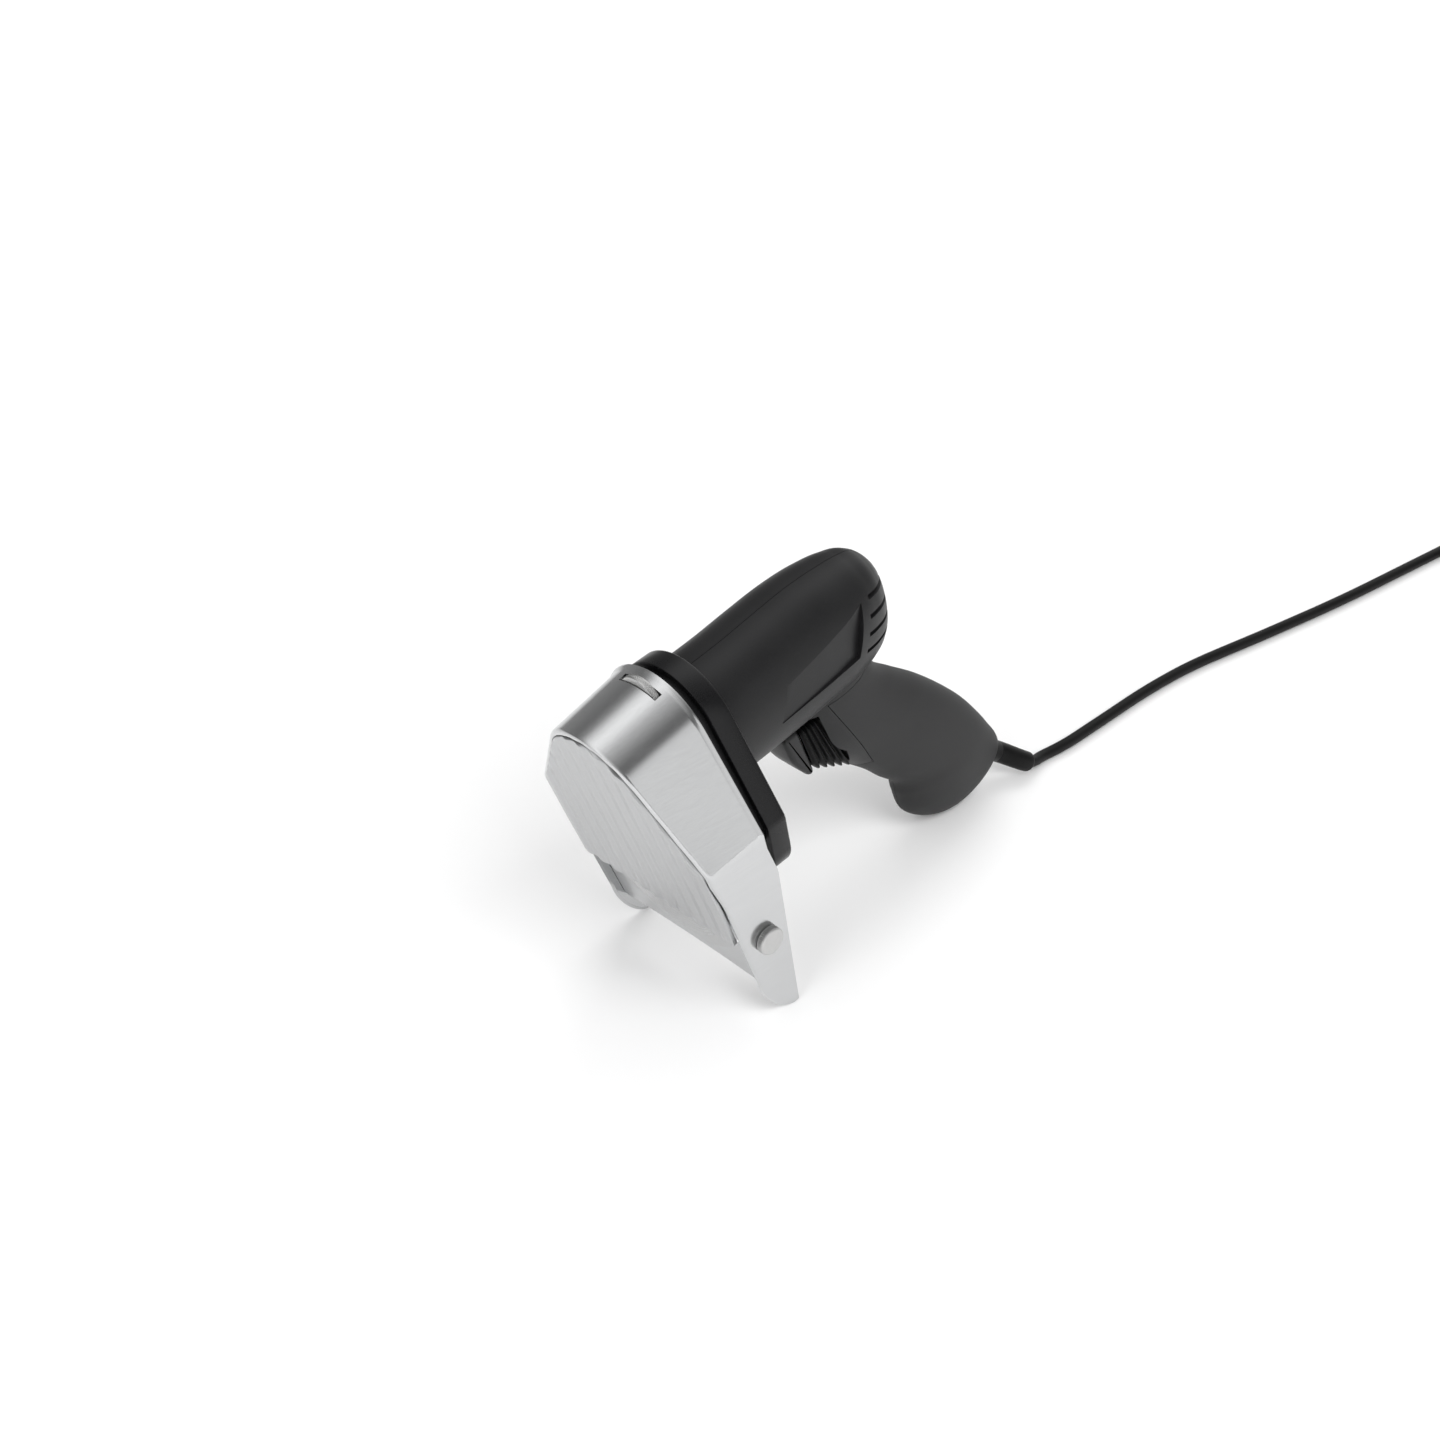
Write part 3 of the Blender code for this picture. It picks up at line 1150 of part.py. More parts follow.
def build_motor():
    rear = CAN_FRONT - CAN_LENGTH
    bore = BEARING_RADIUS / 2
    can = ((bore, CAN_FRONT), (CAN_RADIUS, CAN_FRONT), (CAN_RADIUS, rear), (CAN_RADIUS - CAN_WALL, rear),
           (CAN_RADIUS - CAN_WALL, CAN_FRONT - CAN_WALL), (bore, CAN_FRONT - CAN_WALL))
    solid("motor_can", *turned(can, 24), CAN_STEEL, MOTOR)
    middle = (CAN_FRONT + rear) / 2
    outer = CAN_RADIUS - CAN_WALL - GAP
    solid("motor_magnets", *turned(tube_profile(
        outer - MAGNET_THICK, outer, middle - MAGNET_LENGTH / 2, middle + MAGNET_LENGTH / 2), 20), CAST, MOTOR)
    cap_front = rear - GAP
    solid("motor_end_cap", *turned(tube_profile(
        BEARING_RADIUS + RUN, CAN_RADIUS - CAN_WALL, cap_front - CAP_LENGTH, cap_front), 20), PLASTIC, MOTOR)
    for name, place in (("motor_mount_front", CAN_FRONT - MOUNT_WIDTH), ("motor_mount_rear", rear + MOUNT_WIDTH)):
        solid(name, *turned(tube_profile(
            CAN_RADIUS + GAP, BAY_RADIUS - GAP, place - MOUNT_WIDTH / 2, place + MOUNT_WIDTH / 2), 24), RUBBER, MOTOR)
    rear_seat = cap_front - CAP_LENGTH
    front_seat = -COLLAR_REAR
    for name, low in (("rear_bearing", rear_seat), ("front_bearing", front_seat)):
        solid(name, *turned(tube_profile(SHAFT_RADIUS + RUN, BEARING_RADIUS, low, low + BEARING_WIDTH), 16),
              CAN_STEEL, MOTOR)
    fan_front = rear_seat - FAN_AIR
    shaft_rear = fan_front - FAN_WIDTH - GAP
    solid("rotor_shaft", *turned(rod_profile(SHAFT_RADIUS, shaft_rear, PINION_X + GEAR_FACE / 2), 20),
          CAN_STEEL, MOTOR)
    solid("rotor_core", *turned(tube_profile(
        SHAFT_RADIUS + RUN, CORE_RADIUS, middle - CORE_LENGTH / 2, middle + CORE_LENGTH / 2), 16), CAST, MOTOR)
    commutator = middle - CORE_LENGTH / 2 - GAP
    solid("commutator", *turned(tube_profile(
        SHAFT_RADIUS + RUN, COMMUTATOR_RADIUS, commutator - COMMUTATOR_LENGTH, commutator), 16), COPPER, MOTOR)
    return build_fan(fan_front - FAN_WIDTH, fan_front)


def build_fan(rear, front):
    """A back plate with straight blades round a hub."""
    bore = SHAFT_RADIUS + RUN
    plate = front - FAN_BLADE_THICK
    profile = ((bore, front), (FAN_RADIUS, front), (FAN_RADIUS, plate), (FAN_HUB_RADIUS, plate),
               (FAN_HUB_RADIUS, rear), (bore, rear))
    fan = solid("cooling_fan", *turned(profile, 24), PLASTIC, MOTOR)
    for k in range(FAN_BLADES):
        turn = Matrix.Rotation(2 * pi * k / FAN_BLADES, 4, "Z")
        half = FAN_BLADE_THICK / 2
        blade = solid("join_blade", *box((FAN_HUB_RADIUS - half, -half, rear + half),
                                         (FAN_RADIUS - half, half, plate + half)), place=MOTOR @ turn)
        cut(fan, blade, operation="UNION")
    return fan


# Trigger

def build_trigger():
    outline = [(TRIGGER_X + TRIGGER_HEIGHT * x, TRIGGER_Z + TRIGGER_HEIGHT * z) for x, z in TRIGGER_SHARES]
    trigger = solid("trigger", *slab(outline, -TRIGGER_HALF, TRIGGER_HALF), PLASTIC)
    edge = trigger.modifiers.new("edge", "BEVEL")
    edge.width = TRIGGER_ROUND
    edge.segments = 3
    edge.limit_method = "ANGLE"
    edge.angle_limit = TRIGGER_EDGE_ANGLE
    back_top = Vector(outline[-1])
    back_middle = Vector(outline[-2])
    back_foot = Vector(outline[-3])
    rings = []
    inner = []
    stations = 2 * BELLOWS_FOLDS
    for k in range(stations + 1):
        share = k / stations
        fold = BELLOWS_FOLD_DEPTH * (k % 2)
        front_top = back_at(back_middle, back_top, BELLOWS_TOP_Z)
        front_foot = back_at(back_foot, back_middle, back_foot.y + TRIGGER_ROUND)
        top = Vector((front_top - GAP, BELLOWS_TOP_Z)).lerp(Vector((BELLOWS_REAR_X, BELLOWS_TOP_Z)), share)
        foot_front = Vector((front_foot - GAP, back_foot.y + TRIGGER_ROUND))
        foot = foot_front.lerp(Vector((BELLOWS_REAR_FOOT_X, BELLOWS_FOOT_Z)), share)
        rings.append(bellows_ring(top, foot, BELLOWS_HALF - BELLOWS_FOLD_DEPTH + fold, fold))
        inner.append(bellows_ring(top, foot, BELLOWS_HALF - BELLOWS_FOLD_DEPTH + fold - BELLOWS_WALL,
                                  fold - BELLOWS_WALL))
    points, faces = skin(rings + list(reversed(inner)), wrap=True)
    solid("trigger_bellows", points, faces, RUBBER)
    plunger = solid("switch_plunger", *turned(rod_profile(PLUNGER_RADIUS, -OVERRUN, PLUNGER_LENGTH), 20),
                    NYLON, PULL_PLACE)
    around = offset(list(reversed(outline)), -GAP)
    cut(plunger, solid("cut_plunger_face", *slab(around, -TRIGGER_HALF, TRIGGER_HALF)))


def back_at(low, high, height):
    share = (height - low.y) / (high.y - low.y)
    return low.x + (high.x - low.x) * share


def bellows_ring(top, foot, half, grow):
    """Rounded rectangle between the top and foot points, in the slanted plane of one fold."""
    rise = (top - foot).normalized()
    high = top + rise * grow
    low = foot - rise * grow
    corner = BELLOWS_HALF * BELLOWS_CORNER_SHARE
    ring = []
    spots = ((half, low, 1, 1), (half, high, 1, -1), (-half, high, -1, -1), (-half, low, -1, 1))
    for i, (side, end, out, inward) in enumerate(spots):
        first = (side, end + rise * corner * inward)
        second = (side - out * corner, end)
        pair = (second, first) if i % 2 == 0 else (first, second)
        for y, p in pair:
            ring.append((p.x, y, p.y))
    return ring


# Strain relief, cord and plug

def sweep(path, radii, sides=14):
    """Round rings along a path of points, each square to the path."""
    rings = []
    for i, point in enumerate(path):
        along = (path[min(i + 1, len(path) - 1)] - path[max(i - 1, 0)]).normalized()
        across = along.cross(VERTICAL).normalized()
        rise = across.cross(along)
        ring = []
        for k in range(sides):
            angle = 2 * pi * (k + 0.5) / sides
            ring.append(point + across * radii[i] * cos(angle) + rise * radii[i] * sin(angle))
        rings.append(ring)
    return skin(rings)


def relief_path():
    run = Vector((RELIEF_RUN_X, 0, RELIEF_RUN_Z))
    root = Vector((RELIEF_X, 0, RELIEF_Z))
    path = [root - run.normalized() * RELIEF_ROOT]
    for k in range(RELIEF_STEPS + 1):
        share = k / RELIEF_STEPS
        turn = max(0, share - RELIEF_STRAIGHT_SHARE) / (1 - RELIEF_STRAIGHT_SHARE)
        path.append(root + run * share + SIDEWAYS * RELIEF_BEND_Y * (3 * turn ** 2 - 2 * turn ** 3))
    return path


def build_relief():
    radii = [between(RELIEF_RADIUS, RELIEF_TIP_RADIUS, k / RELIEF_STEPS) for k in range(RELIEF_STEPS + 1)]
    return solid("strain_relief", *sweep(relief_path(), [RELIEF_RADIUS] + radii), RUBBER)


def lowest(objects, angle):
    least = None
    for made in objects:
        for vertex in made.data.vertices:
            point = made.matrix_basis @ vertex.co
            height = -point.x * sin(angle) + point.z * cos(angle)
            least = height if least is None else min(least, height)
    return least


def standing_tilt(feet, grip):
    """Nose down angle at which the feet and the grip touch the same floor."""
    low = 0
    high = radians(30)
    for step in range(40):
        middle = (low + high) / 2
        if lowest(feet, middle) > lowest(grip, middle):
            low = middle
        else:
            high = middle
    return (low + high) / 2


def place_stand(feet, grip):
    """Tips the tool on to the floor, with the middle of its outline over the origin."""
    tilt = standing_tilt(feet, grip)
    turn = Matrix.Rotation(tilt, 4, "Y")
    bpy.context.view_layer.update()
    graph = bpy.context.evaluated_depsgraph_get()
    points = []
    for made in bpy.context.collection.objects:
        if made.type == "MESH" and not made.hide_render:
            shape = made.evaluated_get(graph)
            mesh = shape.to_mesh()
            points += [turn @ made.matrix_basis @ v.co for v in mesh.vertices]
            shape.to_mesh_clear()
    low = [min(p[k] for p in points) for k in range(3)]
    high = [max(p[k] for p in points) for k in range(3)]
    shift = Vector((-(low[0] + high[0]) / 2, -(low[1] + high[1]) / 2, -low[2]))
    STAND.matrix_world = Matrix.Translation(shift) @ turn
    bpy.context.view_layer.update()
    print("tilt", round(tilt * 180 / pi, 3), "shift", [round(v, 6) for v in shift])
    return STAND.matrix_world


def build_tool():
    shell = build_shell()
    build_bar()
    build_knobs()
    build_wheel()
    build_plate()
    build_blade()
    build_gears()
    build_case()
    build_collar()
    build_body()
    covers = build_covers()
    build_screws()
    build_motor()
    build_trigger()
    relief = build_relief()
    return shell, covers, relief


def smooth(points, first, last, spacing):
    """Points at even steps along one smooth curve through the given ones."""
    spots = np.array([tuple(p) for p in points])
    lengths = np.linalg.norm(np.diff(spots, axis=0), axis=1)
    places = np.concatenate([[0], np.cumsum(lengths)])
    slopes = np.zeros_like(spots)
    slopes[1:-1] = (spots[2:] - spots[:-2]) / (places[2:] - places[:-2])[:, None]
    slopes[0] = tuple(first)
    slopes[-1] = tuple(last)
    dense = []
    for i, length in enumerate(lengths):
        for t in np.linspace(0, 1, 20, endpoint=False):
            ease = 3 * t ** 2 - 2 * t ** 3
            leave = (t ** 3 - 2 * t ** 2 + t) * length
            reach = (t ** 3 - t ** 2) * length
            dense.append(between(spots[i], spots[i + 1], ease) + leave * slopes[i] + reach * slopes[i + 1])
    dense = np.array(dense + [spots[-1]])
    walked = np.concatenate([[0], np.cumsum(np.linalg.norm(np.diff(dense, axis=0), axis=1))])
    count = round(walked[-1] / spacing)
    even = np.linspace(0, walked[-1], count + 1)
    return [Vector([np.interp(e, walked, dense[:, k]) for k in range(3)]) for e in even]


def tube(name, points, resolution):
    curve = bpy.data.curves.new(name, "CURVE")
    curve.dimensions = "3D"
    curve.bevel_depth = CORD_RADIUS
    curve.bevel_resolution = resolution
    curve.use_fill_caps = True
    line = curve.splines.new("POLY")
    line.points.add(len(points) - 1)
    for spot, point in zip(line.points, points):
        spot.co = (*point, 1)
    curve.materials.append(RUBBER)
    made = bpy.data.objects.new(name, curve)
    bpy.context.collection.objects.link(made)
    return made


def coil_points():
    """Turns that spiral in on the lower layer, climb, and spiral out on the upper one."""
    centre = Vector((COIL_X, COIL_Y, 0))
    turns = 2 * COIL_TURNS
    outer = COIL_ACROSS / 2 + COIL_STEP * COIL_TURNS / 2
    points = []
    for k in range(turns * COIL_POINTS + 1):
        turn = k / COIL_POINTS
        angle = COIL_START - 2 * pi * turn
        radius = outer - COIL_STEP * (COIL_TURNS - abs(turn - COIL_TURNS))
        layer = max(0, min(1, 2 * (turn - COIL_TURNS) + 0.5))
        height = CORD_RADIUS + GAP + COIL_CLIMB * layer
        points.append(centre + Vector((radius * cos(angle), radius * sin(angle), height)))
    heading = Vector((sin(COIL_START), -cos(COIL_START), 0))
    lead = points[0] - heading * 2 * CORD_RADIUS
    tail = points[-1] + heading * 2 * CORD_RADIUS * COIL_TAIL_SHARE
    return [lead] + points + [tail], heading


def least_gap(points):
    """Smallest clear distance between parts of the coil that aren't neighbours along it."""
    spots = np.array([tuple(p) for p in points])
    fine = np.concatenate([spots[:-1] + (spots[1:] - spots[:-1]) * t for t in (0, 0.25, 0.5, 0.75)])
    order = np.concatenate([np.arange(len(spots) - 1) + t for t in (0, 0.25, 0.5, 0.75)])
    least = None
    for place, index in zip(fine, order):
        far = fine[np.abs(order - index) > COIL_POINTS / 3]
        gap = np.linalg.norm(far - place, axis=1).min() - 2 * CORD_RADIUS
        least = gap if least is None else min(least, gap)
    return least


def build_cord():
    path = [PLACE @ point for point in relief_path()]
    tip = path[-1]
    leaving = (path[-1] - path[-2]).normalized()
    coil, heading = coil_points()
    height = CORD_RADIUS + GAP
    start = tip + leaving * GAP
    route = [start] + [Vector((x, y, height)) for x, y in CORD_ROUTE] + [coil[0] - heading * GAP]
    free = smooth(route, leaving, heading, CORD_SPACING)
    free.insert(1, start + leaving * CORD_RADIUS)
    tube("cord_free", free, 2)
    tube("cord_coil", coil, 1)
    print("least gap of the coil to itself, mm", round(least_gap(coil) * 1000, 3))
    length = sum((b - a).length for line in (free, coil) for a, b in zip(line, line[1:]))
    print("length of the cord, m", round(length, 3), "points in the free stretch", len(free))
    build_plug(coil[-1] + heading * GAP, heading)


def build_plug(root, heading):
    """Moulded plug with two round pins, lying in line with the coil's end."""
    place = axes_matrix(root, VERTICAL.cross(heading), VERTICAL, -heading)
    tall = root.z - GAP
    rings = []
    for share, radius in ((0, PLUG_NECK_RADIUS), (1, PLUG_NECK_RADIUS + PIN_RADIUS)):
        rings.append(flat_ring(radius, radius, -share * PLUG_NECK_LENGTH))
    shoulder = PLUG_NECK_LENGTH + PLUG_LENGTH * PLUG_SHOULDER_SHARE
    rings.append(flat_ring(PLUG_HALF, tall, -shoulder))
    rings.append(flat_ring(PLUG_HALF, tall, -PLUG_NECK_LENGTH - PLUG_LENGTH))
    plug = solid("plug_body", *skin(rings), RUBBER, place, None)
    front = -PLUG_NECK_LENGTH - PLUG_LENGTH
    for side, name in ((-1, "plug_pin_1"), (1, "plug_pin_2")):
        spot = place @ Matrix.Translation((side * PIN_SPREAD, 0, 0))
        socket = turned(rod_profile(PIN_RADIUS + GAP, front - OVERRUN, front + PIN_ROOT + GAP), 14)
        cut(plug, solid("cut_pin", *socket, place=spot, parent=None))
        pin = turned(rod_profile(PIN_RADIUS, front - PIN_LENGTH, front + PIN_ROOT), 14)
        solid(name, *pin, BRASS, spot, None)


def flat_ring(wide, high, place, sides=18):
    ring = []
    for k in range(sides):
        angle = 2 * pi * (k + 0.5) / sides
        ring.append((wide * bent(cos(angle), GRIP_POWER), high * bent(sin(angle), GRIP_POWER), place))
    return ring


SHELL, COVERS, RELIEF = build_tool()
PLACE = place_stand([SHELL], COVERS)
build_cord()
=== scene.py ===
# %% [markdown]
# # Electric kebab knife
# A pistol grip tool with a motor in its barrel, a stainless hood over a round blade, and a mains
# cord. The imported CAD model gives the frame: every piece here sits where a CAD node sits. The
# visible outer pieces are worked out again on much finer grids, so that sheet metal and mouldings
# catch the light as smooth surfaces, and the inner nodes keep their solids under better finishes.

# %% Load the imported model
import json
import bpy
import bmesh
import numpy as np
from mathutils import Matrix, Vector

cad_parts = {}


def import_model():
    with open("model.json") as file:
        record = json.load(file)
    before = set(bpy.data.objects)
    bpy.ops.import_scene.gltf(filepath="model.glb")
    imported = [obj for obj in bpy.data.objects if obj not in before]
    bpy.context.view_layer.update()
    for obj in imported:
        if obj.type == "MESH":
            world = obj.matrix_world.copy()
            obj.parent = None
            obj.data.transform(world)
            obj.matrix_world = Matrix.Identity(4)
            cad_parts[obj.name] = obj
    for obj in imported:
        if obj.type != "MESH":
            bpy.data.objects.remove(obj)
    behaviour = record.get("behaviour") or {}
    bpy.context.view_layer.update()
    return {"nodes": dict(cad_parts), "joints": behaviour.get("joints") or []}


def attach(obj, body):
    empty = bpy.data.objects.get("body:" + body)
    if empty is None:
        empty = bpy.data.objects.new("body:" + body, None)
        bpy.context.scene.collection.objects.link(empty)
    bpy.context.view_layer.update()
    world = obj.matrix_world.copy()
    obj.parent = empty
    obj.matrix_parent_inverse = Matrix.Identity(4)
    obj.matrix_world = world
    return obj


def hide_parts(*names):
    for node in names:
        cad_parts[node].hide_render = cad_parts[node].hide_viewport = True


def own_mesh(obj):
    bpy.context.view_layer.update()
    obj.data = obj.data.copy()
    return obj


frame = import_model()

NODES = frame["nodes"]
print("CAD nodes:", len(NODES))

# %% [markdown]
# The tool leans nose down on its two feet and its butt. It is far easier to work in the tool's own
# frame: x forward along the barrel, y to the side, z up, from the middle of the hood's rear rim.
# The motor's hinge in the record gives that frame's direction and place, so this script follows
# the CAD if it is packed again with another lean.

# %% Frames of the tool and of its face
JOINTS = {joint["name"]: joint for joint in frame["joints"]}
MOTOR_DROP = 0.0062
AHEAD = np.array(JOINTS["rotor_spin"]["axis"])
SIDE = np.array([0.0, 1.0, 0.0])
UP = np.cross(AHEAD, SIDE)
TOOL = np.column_stack([AHEAD, SIDE, UP])
ORIGIN = np.array(JOINTS["rotor_spin"]["pos_m"]) + UP * MOTOR_DROP

FACE_TILT = np.radians(10.3)
FACE_REACH = 0.0393
NORMAL = np.array([np.cos(FACE_TILT), 0, -np.sin(FACE_TILT)])
UPWARD = np.array([np.sin(FACE_TILT), 0, np.cos(FACE_TILT)])


def world(points):
    """Tool frame to world: each point is the sum of its three shares along the tool's axes."""
    return np.asarray(points) @ TOOL.T + ORIGIN


def face(points):
    """Face frame (side, up the face, out of it) to the tool's frame."""
    side, rise, out = np.moveaxis(np.asarray(points, float), -1, 0)
    return np.stack([FACE_REACH + rise * UPWARD[0] + out * NORMAL[0], side,
                     rise * UPWARD[2] + out * NORMAL[2]], axis=-1)


print("lean, degrees:", round(float(np.degrees(np.arcsin(-AHEAD[2]))), 2))

# %% [markdown]
# The camera comes first, because the length of cord that it doesn't see has to stay close. It looks
# down at the head from the front left. The place and turn are written in the tool's frame, where
# they were solved from the outline of the real one, and are then carried to the world.

# %% Camera
CAMERA_PLACE = (0.40095, 0.59685, 0.59692)
CAMERA_RIGHT = (-0.69465, 0.70864, -0.12367)
CAMERA_UP = (-0.54007, -0.40020, 0.74038)
CAMERA_LOOK = (-0.47517, -0.58109, -0.66071)
FOCAL_PIXELS = 2132.3
FRAME_PIXELS = 1440
CENTRE_PIXELS = (106.41, 42.59)
FILM_WIDTH = 36
CLIP_START = 0.01

lens = bpy.data.cameras.new("camera")
camera = bpy.data.objects.new("camera", lens)
bpy.context.scene.collection.objects.link(camera)
turn = Matrix((CAMERA_RIGHT, CAMERA_UP, [-v for v in CAMERA_LOOK])).transposed()
turn = Matrix(TOOL.tolist()) @ turn
camera.matrix_world = Matrix.Translation(Vector(world(CAMERA_PLACE))) @ turn.normalized().to_4x4()
lens.sensor_width = FILM_WIDTH
lens.lens = FOCAL_PIXELS / FRAME_PIXELS * lens.sensor_width
lens.shift_x = -CENTRE_PIXELS[0] / FRAME_PIXELS
lens.shift_y = CENTRE_PIXELS[1] / FRAME_PIXELS
lens.clip_start = CLIP_START
bpy.context.scene.camera = camera
print("camera at", [round(v, 3) for v in camera.location])

# %% [markdown]
# Each piece is a grid of points. One helper turns a grid into quads: neighbours along both
# directions share a face, a direction may close on itself, and open ends get a flat cap. A second
# helper carves with Booleans and applies them, so that no cutter is left behind.

# %% Grids to meshes
def grid_faces(rows, columns, close_rows, close_columns):
    """Quads between neighbours: point (r, c) has the number r times columns plus c."""
    r = np.arange(rows if close_rows else rows - 1)[:, None]
    c = np.arange(columns if close_columns else columns - 1)[None, :]
    below = (r + 1) % rows
    beside = (c + 1) % columns
    corners = [r * columns + c, r * columns + beside, below * columns + beside, below * columns + c]
    return np.stack(corners, axis=-1).reshape(-1, 4)


def grid_mesh(name, grid, close_rows=False, close_columns=True, place=world):
    """A closed skin over a grid (rows, columns, 3); rows left open end in flat caps."""
    rows, columns = grid.shape[:2]
    faces = grid_faces(rows, columns, close_rows, close_columns).tolist()
    if not close_rows:
        faces += [list(range(columns)), list(range((rows - 1) * columns, rows * columns))]
    points = place(grid.reshape(-1, 3))
    mesh = bpy.data.meshes.new(name)
    mesh.from_pydata(points, [], faces)
    work = bmesh.new()
    work.from_mesh(mesh)
    bmesh.ops.remove_doubles(work, verts=work.verts, dist=MERGE)
    bmesh.ops.recalc_face_normals(work, faces=work.faces)
    if work.calc_volume(signed=True) < 0:
        bmesh.ops.reverse_faces(work, faces=work.faces)
    work.to_mesh(mesh)
    work.free()
    made = bpy.data.objects.new(name, mesh)
    bpy.context.scene.collection.objects.link(made)
    return made


def carve(made, *tools, operation="DIFFERENCE", solver="EXACT"):
    """Boolean steps, applied at once; the tools are taken away."""
    for tool in tools:
        step = made.modifiers.new("carve", "BOOLEAN")
        step.operation = operation
        step.solver = solver
        step.object = tool
    apply_steps(made)
    for tool in tools:
        bpy.data.objects.remove(tool)
    return made


def apply_steps(made):
    """Puts the result of the modifiers into the mesh itself."""
    graph = bpy.context.evaluated_depsgraph_get()
    done = bpy.data.meshes.new_from_object(made.evaluated_get(graph))
    made.modifiers.clear()
    made.data = done


def spread(start, end, count):
    return np.linspace(start, end, count)


MERGE = 1e-7
GAP = 0.0003
print("helpers ready")

# %% Turned and extruded shapes
def turned(name, profile, sides, place, ripple=None):
    """Lathe: each (radius, height) of the profile goes round z; ripple(angle, height) adds to it."""
    radius, height = np.array(profile, float).T[:, :, None]
    angle = spread(0, 2 * np.pi, sides + 1)[None, :-1]
    wide = radius + 0 * angle
    if ripple:
        wide = wide + ripple(angle, height) * (radius > 0)
    grid = np.stack([wide * np.cos(angle), wide * np.sin(angle), height + 0 * angle], axis=-1)
    return grid_mesh(name, grid, place=place)


def block(name, low, high, place=world):
    """A plain box between two corners."""
    corners = np.array([(low[0], low[1]), (high[0], low[1]), (high[0], high[1]), (low[0], high[1])])
    rows = [np.column_stack([corners, np.full(4, level)]) for level in (low[2], high[2])]
    return grid_mesh(name, np.stack(rows), place=place)


def slab(name, outline, low, high):
    """An outline in x and z between two places along y."""
    outline = np.asarray(outline)
    rows = [np.column_stack([outline[:, 0], np.full(len(outline), y), outline[:, 1]]) for y in (low, high)]
    return grid_mesh(name, np.stack(rows))


def on_axes(origin, axis_x, axis_y, axis_z, frame_of=world):
    """A placing function: local x, y and z along the three given axes from the origin."""
    axes = np.array([axis_x, axis_y, axis_z])
    return lambda points: frame_of(np.asarray(points) @ axes + np.array(origin))


def face_spot(drop):
    """Places a turned shape square to the face, at a height below the face's top."""
    return lambda points: world(face(np.asarray(points) + np.array([0, -drop, 0])))


X, Y, Z = np.eye(3)
print("shapes ready")

# %% [markdown]
# A finish is a Principled shader whose varying values are written as plain sums and products.
# The small class below wraps a socket, so that `0.3 + 0.1 * grain` adds its own Math nodes.

# %% Writing shader maths as expressions
class Term:
    """One value in a finish; sums and products of terms become Math nodes."""

    def __init__(self, finish, socket):
        self.finish = finish
        self.socket = socket

    def math(self, operation, first, second):
        return self.finish.node("ShaderNodeMath", first, second, operation=operation)

    def __add__(self, other):
        return self.math("ADD", self, other)

    def __sub__(self, other):
        return self.math("SUBTRACT", self, other)

    def __rsub__(self, other):
        return self.math("SUBTRACT", other, self)

    def __mul__(self, other):
        return self.math("MULTIPLY", self, other)

    def __truediv__(self, other):
        return self.math("DIVIDE", self, other)

    def __pow__(self, other):
        return self.math("POWER", self, other)

    __radd__ = __add__
    __rmul__ = __mul__


class Finish:
    """A material with one Principled shader: fixed values on its sockets, terms on the rest."""

    def __init__(self, name, colour, **fixed):
        self.material = bpy.data.materials.new(name)
        self.material.use_nodes = True
        self.tree = self.material.node_tree
        self.shader = self.tree.nodes["Principled BSDF"]
        self.colour = colour
        self.shader.inputs["Base Color"].default_value = (*colour, 1)
        self.material.diffuse_color = (*colour, 1)
        for socket, value in fixed.items():
            self.shader.inputs[socket.replace("_", " ")].default_value = value
        self.place = self.node("ShaderNodeTexCoord", out="Object")

    def node(self, kind, *values, out=0, sockets=None, **settings):
        made = self.tree.nodes.new(kind)
        for name, value in settings.items():
            setattr(made, name, value)
        chosen = dict(enumerate(values))
        chosen.update(sockets or {})
        for key, value in chosen.items():
            if isinstance(value, Term):
                self.tree.links.new(value.socket, made.inputs[key])
            elif value is not None:
                made.inputs[key].default_value = value
        return Term(self, made.outputs[out])

    def feed(self, socket, term):
        self.tree.links.new(term.socket, self.shader.inputs[socket])

    def noise(self, scale, detail=2, stretch=(1, 1, 1), turn=(0, 0, 0), where=None):
        """Soft noise, scale cells to the metre, stretched along the axes and turned first."""
        spot = self.node("ShaderNodeMapping", where or self.place,
                         sockets={"Rotation": turn, "Scale": stretch})
        return self.node("ShaderNodeTexNoise", sockets={"Vector": spot, "Scale": scale, "Detail": detail})

    def between(self, term, low, high):
        """0 below low, 1 above high, straight in between."""
        return self.node("ShaderNodeMapRange", term, low, high)

    def mix(self, share, first, second):
        """From the first colour to the second; 6, 7 and 2 are the Mix node's colour sockets."""
        colours = [c if isinstance(c, Term) else (*c, 1) for c in (first, second)]
        return self.node("ShaderNodeMix", share, out=2, sockets={6: colours[0], 7: colours[1]},
                         data_type="RGBA")

    def bump(self, height, distance, strength=1):
        lifted = self.node("ShaderNodeBump",
                           sockets={"Strength": strength, "Distance": distance, "Height": height})
        self.feed("Normal", lifted)


print("finish class ready")

# %% [markdown]
# The hood is one bent sheet. In section across the tool it is a round top, two flat walls tangent
# to it, a bend on each side and two long legs. The same outline is worked out twice, at the rear rim
# and at the leaning face, and the sheet runs straight between the two.

